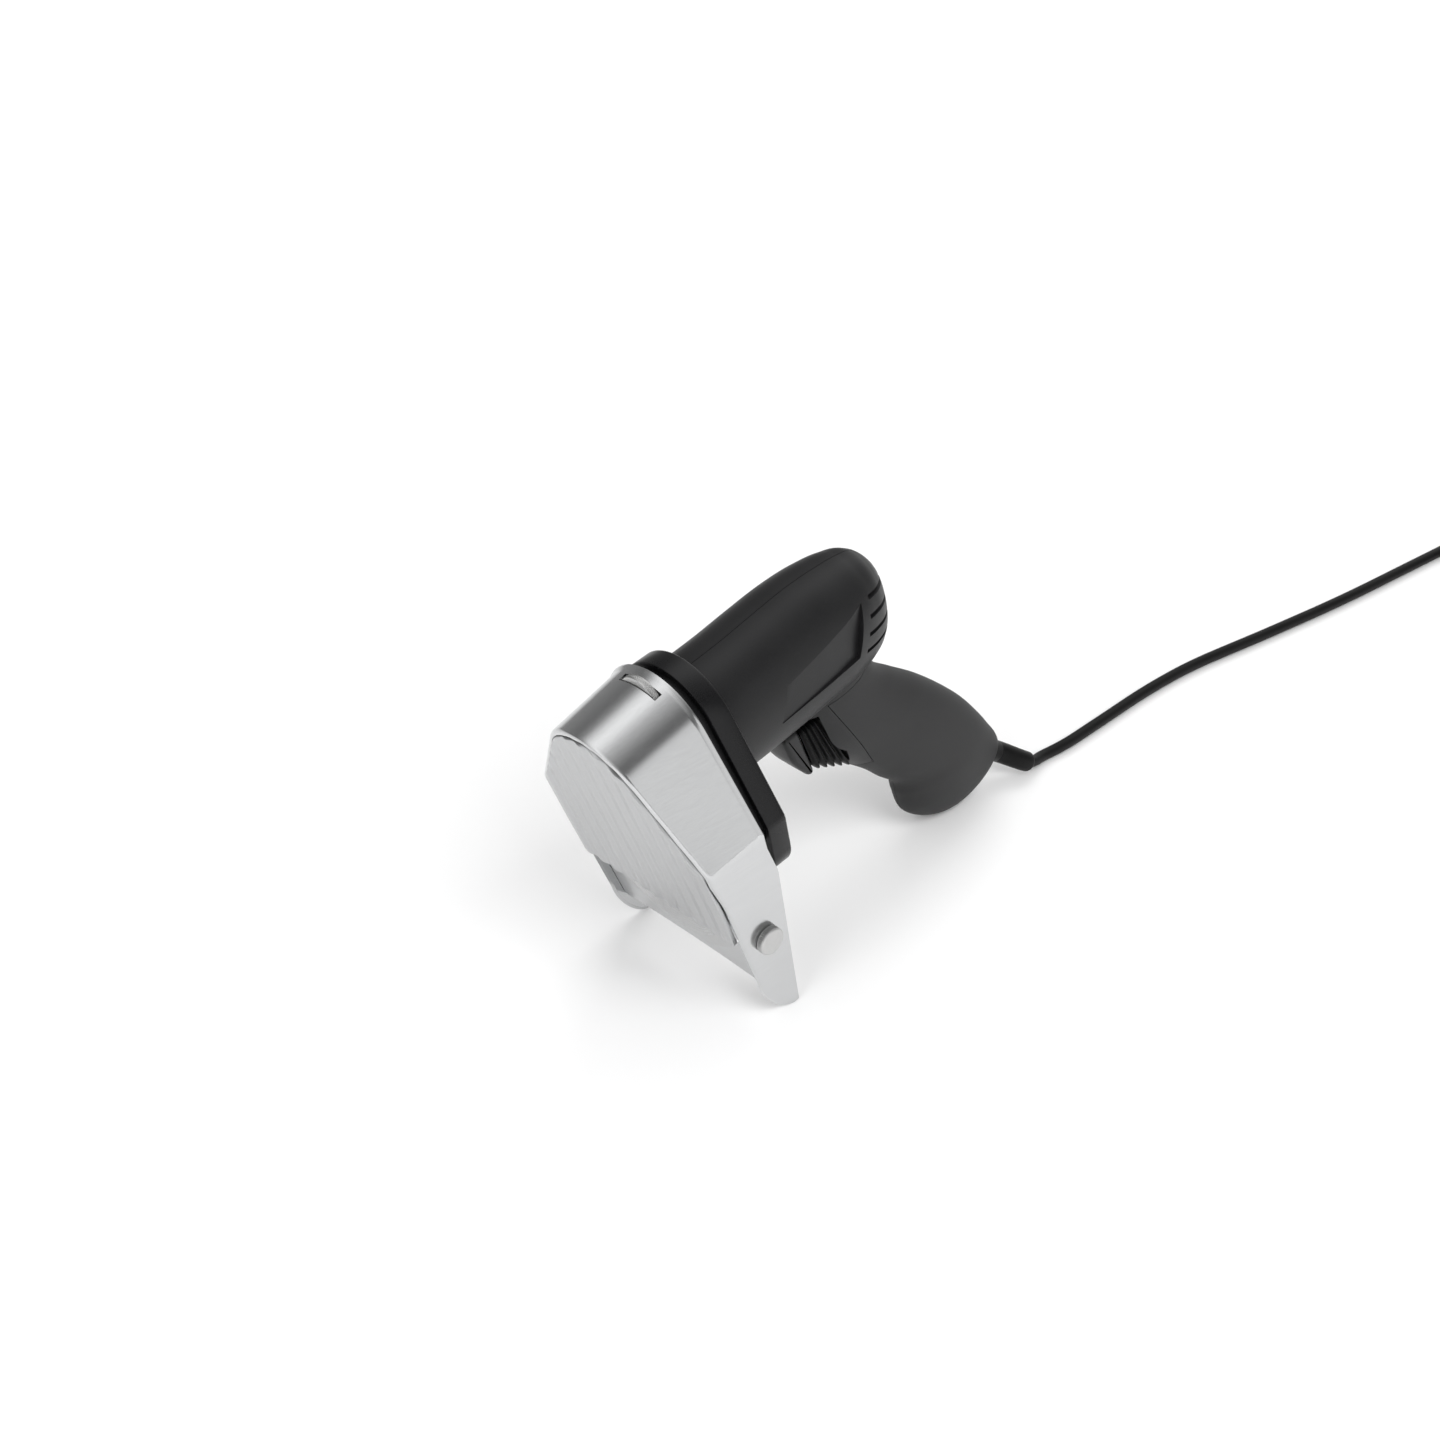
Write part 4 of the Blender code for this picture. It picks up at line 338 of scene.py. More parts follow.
# %% Outline of the hood
SHEET = 0.0015
RIM_RADIUS, FACE_RADIUS, FACE_ARC_DROP = 0.0338, 0.0335, 0.0066
BEND_HALF, RIM_BEND_DROP, FACE_BEND_DROP, BEND_RADIUS = 0.0560, 0.0300, 0.0324, 0.0070
FOOT_HALF, FOOT_DROP, TOE_START, TOE_POWER = 0.0518, 0.1426, 0.1160, 1.6
LEG_TOP, LEG_STEP, LEG_STEP_TOP, LEG_STEP_END, FOOT_LENGTH = 0.0390, 0.0050, 0.0360, 0.0560, 0.0040
SHELL_SETBACK, LEG_SETBACK, FRONT_BEND, LEG_BEND = 0.0006, 0.0024, 0.0024, 0.0017
RIM_LIP, RIM_LIP_LENGTH = 0.0011, 0.0034
LEG_LEAN = np.arctan2(BEND_HALF - FOOT_HALF, FOOT_DROP - RIM_BEND_DROP)


def heading(angle):
    """Unit directions (side, up) at angles measured from straight up."""
    return np.stack([np.sin(angle), np.cos(angle)], axis=-1)


def half_outline(radius, arc_drop, bend_drop, inset, drops):
    """Points and normals: an arc about its centre, the tangent to the bend, the bend, the leg."""
    bend = np.array([BEND_HALF, -bend_drop])
    centre = np.array([0, -arc_drop])
    reach = bend - centre
    tangent = np.arctan2(*reach) - np.arccos(radius / np.hypot(*reach))
    over = heading(spread(0, tangent, 44))
    top = centre + over * (radius - inset)
    slant, leg = heading(tangent), heading(np.pi / 2 + LEG_LEAN)
    corner = bend - (slant + leg) * inset / (1 + slant @ leg)
    inner = BEND_RADIUS - inset
    heart = corner - (slant + leg) * inner / (1 + slant @ leg)
    round_it = heading(spread(tangent, np.pi / 2 + LEG_LEAN, 12))
    bent = heart + round_it * inner
    share = spread(0, 1, 14)[1:-1, None]
    wall = top[-1] * (1 - share) + bent[0] * share
    legs = np.column_stack([corner[0] - (drops + corner[1]) * np.tan(LEG_LEAN), -drops])
    points = np.concatenate([top, wall, bent, legs])
    normals = np.concatenate([over, np.tile(slant, (len(wall), 1)), round_it, np.tile(leg, (len(legs), 1))])
    return points, normals


def edge_x(drop):
    """Front edge of a leg: along the face, then round back to the foot as a power curve."""
    blend = np.clip((drop - LEG_TOP) / (LEG_STEP_END - LEG_TOP), 0, 1)
    setback = SHELL_SETBACK + (LEG_SETBACK - SHELL_SETBACK) * blend
    straight = FACE_REACH - np.minimum(drop, TOE_START) * np.tan(FACE_TILT) - setback / np.cos(FACE_TILT)
    toe = FOOT_LENGTH - LEG_STEP
    share = np.clip((drop - TOE_START) / (FOOT_DROP - TOE_START), 0, 1)
    rounded = toe + (straight - toe) * (1 - share ** TOE_POWER) ** (1 / TOE_POWER)
    return np.where(drop <= TOE_START, straight, rounded)


def leg_inner(drop):
    return BEND_HALF - (drop - RIM_BEND_DROP) * np.tan(LEG_LEAN) - SHEET


toe_drops = TOE_START + (FOOT_DROP - TOE_START) * np.sin(spread(0, np.pi / 2, 22)) ** 1.4
leg_drops = np.concatenate([spread(LEG_TOP, TOE_START, 30)[:-1], toe_drops])
print("outline points to a side:", len(half_outline(RIM_RADIUS, 0, RIM_BEND_DROP, 0, leg_drops)[0]))

# %% [markdown]
# At each point of the outline the sheet has the same cross-section: a small rolled lip at the rim,
# the straight run forward, and a tight bend where it turns in towards the ribbed plate. Stacking
# those sections as one array gives the whole hood at once; Booleans then open the slot of the
# thumbwheel and the holes of the thumb screws.

# %% Hood
LIP_STEPS = ((0, 0.55), (0.08, 0.88), (0.26, 1), (0.5, 0.82), (0.76, 0.3), (1, 0))
OUTER_BEND, INNER_BEND = np.radians((12, 26, 40, 54, 68, 80, 90)), np.radians((60, 30))
WHEEL_PLACE, WHEEL_WIDTH, WHEEL_RADIUS, WHEEL_RISE = 0.0072, 0.0034, 0.0130, 0.0226
SLOT_HALF, SLOT_SIDE_GAP = 0.0118, 0.0004
KNOB_X, KNOB_DROP, KNOB_RADIUS, KNOB_THICK, KNOB_SHANK = 0.0078, 0.0896, 0.0069, 0.0040, 0.0024


def hood_grid():
    """Sections of lip, run and bend (columns) along the outline from foot to foot (rows)."""
    rim, out = half_outline(RIM_RADIUS, 0, RIM_BEND_DROP, 0, leg_drops)
    front, splay = half_outline(FACE_RADIUS, FACE_ARC_DROP, FACE_BEND_DROP, 0, leg_drops)
    upper = (np.arange(len(rim)) < len(rim) - len(leg_drops))[:, None]
    drop = -rim[:, 1]
    step = np.clip((drop - LEG_STEP_TOP) / (LEG_STEP_END - LEG_STEP_TOP), 0, 1)
    rear = np.column_stack([np.where(upper[:, 0], 0, -LEG_STEP * step), rim])
    out_rear = np.column_stack([np.zeros(len(rim)), out])
    on_face = face(np.column_stack([front, np.full(len(front), -SHELL_SETBACK)]))
    ahead_point = np.where(upper, on_face, np.column_stack([edge_x(drop), rim]))
    out_front = np.where(upper, splay[:, :1] * Y + splay[:, 1:] * UPWARD, out_rear)
    inward = np.where(upper, NORMAL, X)
    share = np.clip((drop[:, None] - RIM_BEND_DROP) / (LEG_TOP * 1.3 - RIM_BEND_DROP), 0, 1)
    radius = FRONT_BEND + (LEG_BEND - FRONT_BEND) * share
    lip = RIM_LIP * (1 - share)
    run = ahead_point - rear
    run /= np.linalg.norm(run, axis=1, keepdims=True)
    heart = ahead_point - inward * radius
    start = ahead_point - run * radius
    columns = [rear - out_rear * SHEET]
    columns += [rear + run * RIM_LIP_LENGTH * along + out_rear * lip * high for along, high in LIP_STEPS]
    columns.append(start)
    for angle in OUTER_BEND:
        columns.append(heart + inward * radius * np.sin(angle) - out_front * radius * (1 - np.cos(angle)))
    columns.append(ahead_point - out_front * radius - inward * SHEET)
    small = radius - SHEET
    for angle in INNER_BEND:
        columns.append(heart + inward * small * np.sin(angle) - out_front * (radius - small * np.cos(angle)))
    columns.append(start - out_front * SHEET)
    half = np.stack(columns, axis=1)
    return np.concatenate([half[:0:-1] * np.array([1, -1, 1]), half])


hood = grid_mesh("hood", hood_grid())
half_slot = WHEEL_WIDTH / 2 + SLOT_SIDE_GAP
slot_tool = block("slot_tool", (WHEEL_PLACE - half_slot, -SLOT_HALF, WHEEL_RISE),
                  (WHEEL_PLACE + half_slot, SLOT_HALF, RIM_RADIUS + SHEET * 2))
knob_spots = {side: on_axes((KNOB_X, 0, -KNOB_DROP), X, -Z * side, Y * side) for side in (1, -1)}
inside, outside = FOOT_HALF / 2, BEND_HALF * 1.1
bore = ((0, inside), (KNOB_SHANK + GAP, inside), (KNOB_SHANK + GAP, outside), (0, outside))
hole_tools = [turned("hole_tool", bore, 48, knob_spots[side]) for side in (1, -1)]
carve(hood, slot_tool, *hole_tools)
print("hood faces:", len(hood.data.polygons))

# %% [markdown]
# The face plate fills the front of the hood. Its ribs are one cosine wave across the plate, pressed
# into the sheet, so a column of the grid is a short strip with rounded ends, and the columns differ
# only in their height on the wave.

# %% Ribbed plate
PLATE_CLEAR, PLATE_THICK, PLATE_DROP = 0.0004, 0.0022, 0.0845
RIB_COUNT, RIB_HEIGHT, RIB_STEPS, END_ROUND, PLATE_ROUND = 11, 0.0007, 20, 0.0009, 0.0006
ROUNDING = np.radians((0, 30, 60, 90))


def plate_grid():
    """Columns across the plate, each a loop from the top edge down the front and up the back."""
    outline, _ = half_outline(FACE_RADIUS, FACE_ARC_DROP, FACE_BEND_DROP, FRONT_BEND + PLATE_CLEAR,
                              np.array([PLATE_DROP]))
    widest = int(outline[:, 0].argmax())
    reach = outline[widest, 0] - END_ROUND
    side = spread(-reach, reach, RIB_COUNT * RIB_STEPS + 1)
    top = np.interp(abs(side), outline[:widest + 1, 0], outline[:widest + 1, 1])
    lower = outline[widest:][::-1]
    foot = np.where(abs(side) > lower[0, 0], np.interp(abs(side), lower[:, 0], lower[:, 1]), -PLATE_DROP)
    wave = RIB_HEIGHT * (1 - np.cos(2 * np.pi * np.arange(len(side)) / RIB_STEPS)) / 2
    loop = [(side, top, np.full_like(side, -PLATE_THICK))]
    for angle in ROUNDING:
        fall, back = PLATE_ROUND * (1 - np.cos(angle)), PLATE_ROUND * (1 - np.sin(angle))
        loop.append((side, top - fall, wave - back))
    for share in spread(0, 1, 10)[1:-1]:
        loop.append((side, top + (foot - top) * share, wave))
    for angle in ROUNDING[::-1]:
        fall, back = PLATE_ROUND * (1 - np.cos(angle)), PLATE_ROUND * (1 - np.sin(angle))
        loop.append((side, foot + fall, wave - back))
    loop.append((side, foot, np.full_like(side, -PLATE_THICK)))
    return face(np.stack([np.column_stack(rows) for rows in loop], axis=1))


plate = grid_mesh("ribbed_plate", plate_grid())
POST_RADIUS, POST_SPREAD, POST_DROP, POST_FOOT = 0.0030, 0.0160, -0.0040, 0.0118
POST_TOP = -PLATE_THICK * 0.8
rod = ((0, -POST_FOOT), (POST_RADIUS, -POST_FOOT), (POST_RADIUS, POST_TOP), (0, POST_TOP))
for side in (1, -1):
    spot = on_axes((side * POST_SPREAD, -POST_DROP, 0), X, Y, Z, lambda points: world(face(points)))
    carve(plate, turned("post_tool", rod, 32, spot), operation="UNION")
print("plate faces:", len(plate.data.polygons))

# %% Blade and guide bar
BLADE_RADIUS, BLADE_DROP, BLADE_FRONT, BLADE_THICK = 0.0500, 0.0684, 0.0042, 0.0018
BEVEL_WIDTH, BLADE_BORE, BLADE_EDGE = 0.0085, 0.0050, 0.00015
BAR_CLEAR, BAR_DROP, BAR_ARCH, BAR_HORN_DROP, BAR_BACK = 0.0010, 0.1268, 0.0012, 0.0940, 0.0030
BAR_THICK, TAB_THICK, TAB_TOP, TAB_BOTTOM, TAB_REAR = 0.0022, 0.0024, 0.0800, 0.1040, -0.0030

back = -BLADE_FRONT - BLADE_THICK
blade_profile = ((BLADE_BORE, -BLADE_FRONT), (BLADE_RADIUS - BEVEL_WIDTH, -BLADE_FRONT),
                 (BLADE_RADIUS - BEVEL_WIDTH * 0.96, -BLADE_FRONT - BLADE_THICK * 0.03),
                 (BLADE_RADIUS - BEVEL_WIDTH * 0.12, back + BLADE_EDGE * 2.4),
                 (BLADE_RADIUS, back + BLADE_EDGE), (BLADE_RADIUS, back), (BLADE_BORE, back))


def lathe_ring(name, profile, sides, place):
    """A closed profile that doesn't touch the axis, turned round z into a ring."""
    radius, height = np.array(profile).T
    angle = spread(0, 2 * np.pi, sides + 1)[:-1]
    grid = np.stack([radius[:, None] * np.cos(angle), radius[:, None] * np.sin(angle),
                     np.repeat(height[:, None], sides, axis=1)], axis=-1)
    return grid_mesh(name, grid, close_rows=True, place=place)


blade = lathe_ring("round_blade", blade_profile, 220, face_spot(BLADE_DROP))


def bar_outline(front):
    """Flat foot, straight sides along the legs, and an arc concentric with the blade."""
    rise = lambda drop: -(drop * np.cos(FACE_TILT) - front * np.sin(FACE_TILT))
    horn, foot = (leg_inner(-rise(drop)) - GAP for drop in (BAR_HORN_DROP, BAR_DROP))
    sweep = BLADE_RADIUS + BAR_CLEAR
    start = np.arctan2(BLADE_DROP - BAR_HORN_DROP, np.sqrt(sweep ** 2 - (BAR_HORN_DROP - BLADE_DROP) ** 2))
    angle = spread(start, -np.pi - start, 96)
    arc = np.column_stack([sweep * np.cos(angle), -BLADE_DROP + sweep * np.sin(angle)])
    across = spread(-foot, foot, 24)
    floor_line = np.column_stack([across, -BAR_DROP + BAR_ARCH * (1 - 2 * (across / foot) ** 2)])
    return np.concatenate([floor_line, [(horn, -BAR_HORN_DROP)], arc, [(-horn, -BAR_HORN_DROP)]])


front = BLADE_FRONT + BAR_BACK
outline = bar_outline(front)
rows = [np.column_stack([outline, np.full(len(outline), level)]) for level in (-front - BAR_THICK, -front)]
bar = grid_mesh("guide_plate", face(np.stack(rows)))
for side in (1, -1):
    tab = []
    for drop in (TAB_TOP, TAB_BOTTOM):
        outer = leg_inner(drop) - GAP
        inner = outer - TAB_THICK
        ahead = FACE_REACH - drop * np.tan(FACE_TILT) - (front + BAR_THICK / 2) / np.cos(FACE_TILT)
        tab.append([(TAB_REAR, side * outer, -drop), (ahead, side * outer, -drop),
                    (ahead, side * inner, -drop), (TAB_REAR, side * inner, -drop)])
    carve(bar, grid_mesh("tab_tool", np.array(tab)), operation="UNION")
carve(bar, *[turned("hole_tool", bore, 48, knob_spots[side]) for side in (1, -1)])
print("blade and bar faces:", len(blade.data.polygons), len(bar.data.polygons))

# %% [markdown]
# The thumbwheel and the thumb screws are turned parts with a straight knurl: while the lathe goes
# round, the radius rises and falls by a fraction of a millimetre, only on the gripping band.

# %% Knurled wheel and thumb screws
KNURL_DEPTH, KNURL_FADE = 0.00032, 0.0004
WHEEL_BORE, WHEEL_BREAK, WHEEL_EASE, WHEEL_BAND = 0.0033, 0.0006, 0.0002, 0.0007
DIAMONDS, DIAMOND_SLOPE = 36, 2400
KNOB_TAIL, KNOB_TIP, KNOB_TEETH = 0.0020, 0.0004, 44


def knurl(teeth, low, high, depth=KNURL_DEPTH):
    """A rounded saw wave round the axis, faded out above high and below low."""
    def ripple(angle, height):
        band = np.clip((height - low) / KNURL_FADE, 0, 1) * np.clip((high - height) / KNURL_FADE, 0, 1)
        return -depth * band * (1 - np.abs(np.cos(angle * teeth / 2)))
    return ripple


half = WHEEL_WIDTH / 2
levels = spread(-half + WHEEL_BAND, half - WHEEL_BAND, 12)
broken, eased = WHEEL_RADIUS - WHEEL_BREAK, WHEEL_RADIUS - WHEEL_EASE
wheel_profile = [(WHEEL_BORE, -half), (broken, -half), (eased, -half + WHEEL_EASE)]
wheel_profile += [(WHEEL_RADIUS, level) for level in levels]
wheel_profile += [(eased, half - WHEEL_EASE), (broken, half), (WHEEL_BORE, half)]


def diamond(angle, height):
    """Two crossing screw waves: the lower of the two leaves raised diamonds."""
    band = np.clip((half - KNURL_FADE - abs(height)) / KNURL_FADE, 0, 1)
    first = np.abs(np.cos(angle * DIAMONDS + height * DIAMOND_SLOPE))
    second = np.abs(np.cos(angle * DIAMONDS - height * DIAMOND_SLOPE))
    return -KNURL_DEPTH * band * (1 - np.minimum(first, second))


radius, height = np.array(wheel_profile).T
angle = spread(0, 2 * np.pi, 361)[:-1]
gripped = radius[:, None] > (broken + eased) / 2
wide = radius[:, None] + diamond(angle[None], height[:, None]) * gripped
level = np.broadcast_to(height[:, None], wide.shape)
grid = np.stack([wide * np.cos(angle), wide * np.sin(angle), level], axis=-1)
on_wheel = on_axes((WHEEL_PLACE, 0, WHEEL_RISE), Y, Z, X)
wheel = grid_mesh("knurled_wheel", grid, close_rows=True, place=on_wheel)

seat = leg_inner(KNOB_DROP) + SHEET + GAP
tail = leg_inner(KNOB_DROP) - GAP - TAB_THICK - KNOB_TAIL
top = seat + KNOB_THICK
knob_profile = [(0, tail), (KNOB_SHANK - KNOB_TIP, tail), (KNOB_SHANK, tail + KNOB_TIP), (KNOB_SHANK, seat),
                (KNOB_RADIUS - 0.0007, seat), (KNOB_RADIUS, seat + 0.0006)]
knob_profile += [(KNOB_RADIUS, level) for level in spread(seat + 0.0008, top - 0.0011, 5)]
knob_profile += [(KNOB_RADIUS - 0.0001, top - 0.0006), (KNOB_RADIUS - 0.0005, top - 0.00015),
                 (KNOB_RADIUS - 0.0010, top), (KNOB_RADIUS - 0.0018, top), (0, top)]
knobs = {side: turned("thumb_knob_" + name, knob_profile, 240, knob_spots[side],
                      knurl(KNOB_TEETH, seat + KNURL_FADE, top - WHEEL_BAND))
         for side, name in ((1, "left"), (-1, "right"))}
print("knurled faces:", len(wheel.data.polygons), len(knobs[1].data.polygons))

# %% [markdown]
# The collar is a moulding: a bell-shaped flange with rounded edges that shows between barrel and
# hood, and a nose that reaches under the hood. Its outline is an arc, two tangent walls, a bend and
# a rounded foot, and the flange is that outline carried along the tool, drawn in at both edges.

# %% Collar
COLLAR_REAR, COLLAR_STEP, COLLAR_NOSE, COLLAR_RADIUS = 0.0166, 0.0055, 0.0050, 0.0322
COLLAR_HALF, COLLAR_BEND_DROP, COLLAR_FOOT, COLLAR_CORNER = 0.0531, 0.0330, 0.0640, 0.0130
NOSE_INSET, NOSE_FOOT, NOSE_CORNER, COLLAR_ROUND, COLLAR_EDGE = 0.0036, 0.0420, 0.0018, 0.0014, 0.0006
NOSE_OVERLAP, NOTCH_REAR, NOTCH_FRONT, NOTCH_TOP = 0.0040, 0.0002, 0.0090, 0.0400
SHAFT_WAY, BEARING_WAY, BEARING_STOP, STUD_STOP = 0.0033, 0.0083, -0.0113, -0.0128
WAY_REAR, WAY_FRONT = -0.0300, 0.0100


def collar_outline(inset, foot, corner):
    """Arc, tangent, bend, straight side and a quarter round down to the flat foot, both sides."""
    radius = COLLAR_RADIUS - inset
    bend = np.array([COLLAR_HALF - inset, -COLLAR_BEND_DROP])
    tangent = np.arctan2(*bend) - np.arccos(radius / np.hypot(*bend))
    slant, flat = heading(tangent), np.array([1.0, 0.0])
    top = radius * heading(spread(0, tangent, 36))
    heart = bend - (slant + flat) * BEND_RADIUS / (1 + slant @ flat)
    bent = heart + heading(spread(tangent, np.pi / 2, 12)) * BEND_RADIUS
    centre = np.array([bend[0] - corner, corner - foot])
    low = centre + heading(spread(np.pi / 2, np.pi, 16)) * corner
    right = np.concatenate([top, bent, low])
    return np.concatenate([right, (right * np.array([-1, 1]))[:0:-1]])


def collar_rows(levels):
    return np.stack([np.column_stack([np.full(len(ring), x), ring]) for x, ring in levels])


levels = []
for angle in np.radians((0, 22, 45, 67, 90)):
    inset = COLLAR_ROUND * (1 - np.sin(angle))
    ring = collar_outline(inset, COLLAR_FOOT - inset, COLLAR_CORNER - inset)
    levels.append((-COLLAR_REAR + COLLAR_ROUND * (1 - np.cos(angle)), ring))
for angle in ROUNDING[::-1]:
    inset = COLLAR_EDGE * (1 - np.sin(angle))
    ring = collar_outline(inset, COLLAR_FOOT - inset, COLLAR_CORNER - inset)
    levels.append((-COLLAR_STEP - COLLAR_EDGE * (1 - np.cos(angle)), ring))
collar = grid_mesh("collar_moulding", collar_rows(levels))
nose_ring = collar_outline(NOSE_INSET, NOSE_FOOT, NOSE_CORNER)
nose_ends = ((-COLLAR_STEP - NOSE_OVERLAP, nose_ring), (COLLAR_NOSE, nose_ring))
nose = grid_mesh("nose_tool", collar_rows(nose_ends))
carve(collar, nose, operation="UNION")
notch_half = WHEEL_RADIUS + SLOT_SIDE_GAP + GAP
notch = block("notch_tool", (NOTCH_REAR, -notch_half, WHEEL_RISE - notch_half),
              (NOTCH_FRONT, notch_half, NOTCH_TOP))
on_motor = on_axes((0, 0, -MOTOR_DROP), Y, Z, X)
on_stud = on_axes((0, 0, WHEEL_RISE), Y, Z, X)


def way(name, radius, low, high, sides, place):
    """A plain round bore between two levels."""
    return turned(name, ((0, low), (radius, low), (radius, high), (0, high)), sides, place)


shaft_way = way("shaft_tool", SHAFT_WAY, WAY_REAR, WAY_FRONT, 32, on_motor)
bearing_way = way("bearing_tool", BEARING_WAY, WAY_REAR, BEARING_STOP, 40, on_motor)
stud_way = way("stud_tool", SHAFT_WAY, STUD_STOP, WAY_FRONT, 32, on_stud)
carve(collar, notch, shaft_way, bearing_way, stud_way)
print("collar faces:", len(collar.data.polygons))

# %% [markdown]
# Barrel and grip are lofts through superellipses. The few measured sections are joined by one smooth
# curve for each of their sizes, so that the skin has no kinks between them.

# %% Barrel and grip
BARREL_LENGTH, BARREL_RADIUS, BARREL_POWER = 0.1150, 0.0330, 2.2
BARREL_SHARES = np.array((
    (0.000, 0.730, -1.135, 0.880), (0.200, 0.765, -1.125, 0.870), (0.380, 0.825, -1.100, 0.865),
    (0.550, 0.870, -1.065, 0.850), (0.720, 0.855, -1.020, 0.805), (0.830, 0.815, -0.975, 0.705),
    (0.905, 0.740, -0.915, 0.575), (0.955, 0.580, -0.815, 0.425), (0.985, 0.365, -0.660, 0.265),
    (1.000, 0.085, -0.420, 0.110)))
GRIP_SPAN, GRIP_POWER, COVER_SKIN = 0.1600, 2.0, 0.0024
GRIP_ROOT = np.array([-0.0900, -0.0300])
GRIP_SHARES = np.array((
    (-0.150, 0.061, 0.175, 0.015, 0.096), (-0.210, -0.072, 0.147, -0.105, 0.098),
    (-0.291, -0.154, 0.114, -0.228, 0.099), (-0.386, -0.244, -0.025, -0.348, 0.100),
    (-0.479, -0.348, -0.117, -0.443, 0.103), (-0.561, -0.454, -0.175, -0.518, 0.104),
    (-0.626, -0.560, -0.231, -0.583, 0.103), (-0.665, -0.634, -0.239, -0.642, 0.100),
    (-0.696, -0.695, -0.259, -0.728, 0.089), (-0.706, -0.743, -0.334, -0.805, 0.073),
    (-0.684, -0.777, -0.425, -0.852, 0.051), (-0.640, -0.786, -0.495, -0.858, 0.026)))


def flowing(rows, count, places):
    """Rows joined by cubics whose slope at each row is that between its neighbours."""
    slopes = np.gradient(rows, places, axis=0)
    spots = np.interp(spread(0, 1, count), spread(0, 1, len(places)), places)
    low = np.clip(np.searchsorted(places, spots, side="right") - 1, 0, len(places) - 2)
    step = (places[low + 1] - places[low])[:, None]
    t = ((spots - places[low])[:, None]) / step
    keep, go = (1 + 2 * t) * (1 - t) ** 2, t * (1 - t) ** 2
    come, reach = t ** 2 * (3 - 2 * t), t ** 2 * (t - 1)
    along = go * step * slopes[low] + reach * step * slopes[low + 1]
    return keep * rows[low] + come * rows[low + 1] + along, spots


def superellipse(angle, power):
    """Cosine and sine raised to 2 / power with their signs kept."""
    pair = np.array([np.cos(angle), np.sin(angle)])
    return np.sign(pair) * np.abs(pair) ** (2 / power)


def barrel_grid(grow=0):
    """Sections along the barrel: top, bottom and half width flow through the measured shares."""
    sizes, share = flowing(BARREL_SHARES[:, 1:] * BARREL_RADIUS, 120, BARREL_SHARES[:, 0])
    top, bottom, half = (sizes[:, [k]] for k in range(3))
    across, rise = superellipse(spread(0, 2 * np.pi, 129)[:-1] + np.pi / 2, BARREL_POWER)
    place = -COLLAR_REAR - GAP - share[:, None] * BARREL_LENGTH - grow * share[:, None] ** 8
    level = (top + bottom) / 2 + ((top - bottom) / 2 + grow) * rise
    return np.stack([place + 0 * across, (half + grow) * across, level], axis=-1)


def grip_grid(inset=0):
    """Sections across the grip, each between a point of its back and one of its front."""
    rows = GRIP_SHARES * GRIP_SPAN
    sizes, share = flowing(rows, 110, np.arange(len(rows), dtype=float))
    back, front, half = sizes[:, :2] + GRIP_ROOT, sizes[:, 2:4] + GRIP_ROOT, sizes[:, 4:] - inset
    middle, reach = (back + front) / 2, (front - back) / 2
    along = middle[-1] - middle[-28]
    lift = np.clip((share[:, None] - len(rows) + 4) / 3, 0, 1)
    middle = middle - along / np.hypot(*along) * inset * lift
    reach = reach * (1 - inset / np.linalg.norm(reach, axis=1, keepdims=True))
    forth, out = superellipse(spread(0, 2 * np.pi, 97)[:-1], GRIP_POWER)
    place, level = (middle[:, [k]] + reach[:, [k]] * forth for k in (0, 1))
    return np.stack([place, half * out, level], axis=-1)


def barrel_size(place):
    share = (-COLLAR_REAR - GAP - place) / BARREL_LENGTH
    return [BARREL_RADIUS * np.interp(share, BARREL_SHARES[:, 0], BARREL_SHARES[:, k]) for k in (1, 2, 3)]


def barrel_side(place, height):
    top, bottom, half = barrel_size(place)
    rise = np.minimum(1, np.abs(height - (top + bottom) / 2) / ((top - bottom) / 2))
    return half * (1 - rise ** BARREL_POWER) ** (1 / BARREL_POWER)


print("barrel grid:", barrel_grid().shape, "grip grid:", grip_grid().shape)

# %% [markdown]
# The housing splits along its middle into two halves. Each half is the barrel, joined to the part of
# the grip that the soft cover leaves bare and to the core under the cover, less the motor's bay, the
# bellows' pocket, the flat panel and the vents. The covers are what the grip has outside the core.

# %% Tools that shape the housing
SEAM = np.array(((-0.0814, -0.0343), (-0.1050, -0.0335), (-0.32, 0), (-0.32, -0.32), (0, -0.32),
                 (0, -0.0900), (-0.1074, -0.0900)))
PANEL_ENDS = {"foot": (-0.04301, -0.09476), "lean": (0.0068, 0.0095), "low": (-0.0111, -0.0087),
              "crease": (0.0052, 0.0146)}
PANEL_DEPTH, PANEL_FADE, PANEL_STEPS = 0.0016, 0.2, 12
VENT_COUNT, VENT_TOP, VENT_PITCH, VENT_HEIGHT, VENT_MIDRIB = 4, 0.0136, 0.0076, 0.0021, 0.0070
VENT_AIR, VENT_FALL = 0.0060, np.radians(10.8)
TRIGGER_X, TRIGGER_Z, TRIGGER_TRAVEL, PULL_RISE = -0.0565, -0.0415, 0.0050, np.sin(np.radians(149))
BELLOWS_HALF, FOLD = 0.0105, 0.0017
BELLOWS_TOP, BELLOWS_FOOT = np.array([-0.0800, -0.0430]), np.array([-0.0950, -0.0830])
RELIEF_BORE, RELIEF_BACK, RELIEF_AHEAD = 0.0063, 0.0123, 0.0240
BARREL_CLEAR, TOOL_CLEAR, TOOL_REACH = 0.0400, 0.1600, 0.4000
BOSSES = ((-0.1215, -0.0180), (-0.1065, -0.0525), (-0.1420, -0.0960), (-0.1760, -0.1340))
RELIEF_ROOT, RELIEF_RUN = np.array([-0.1975, 0, -0.1530]), np.array([-0.0172, 0, -0.0150])


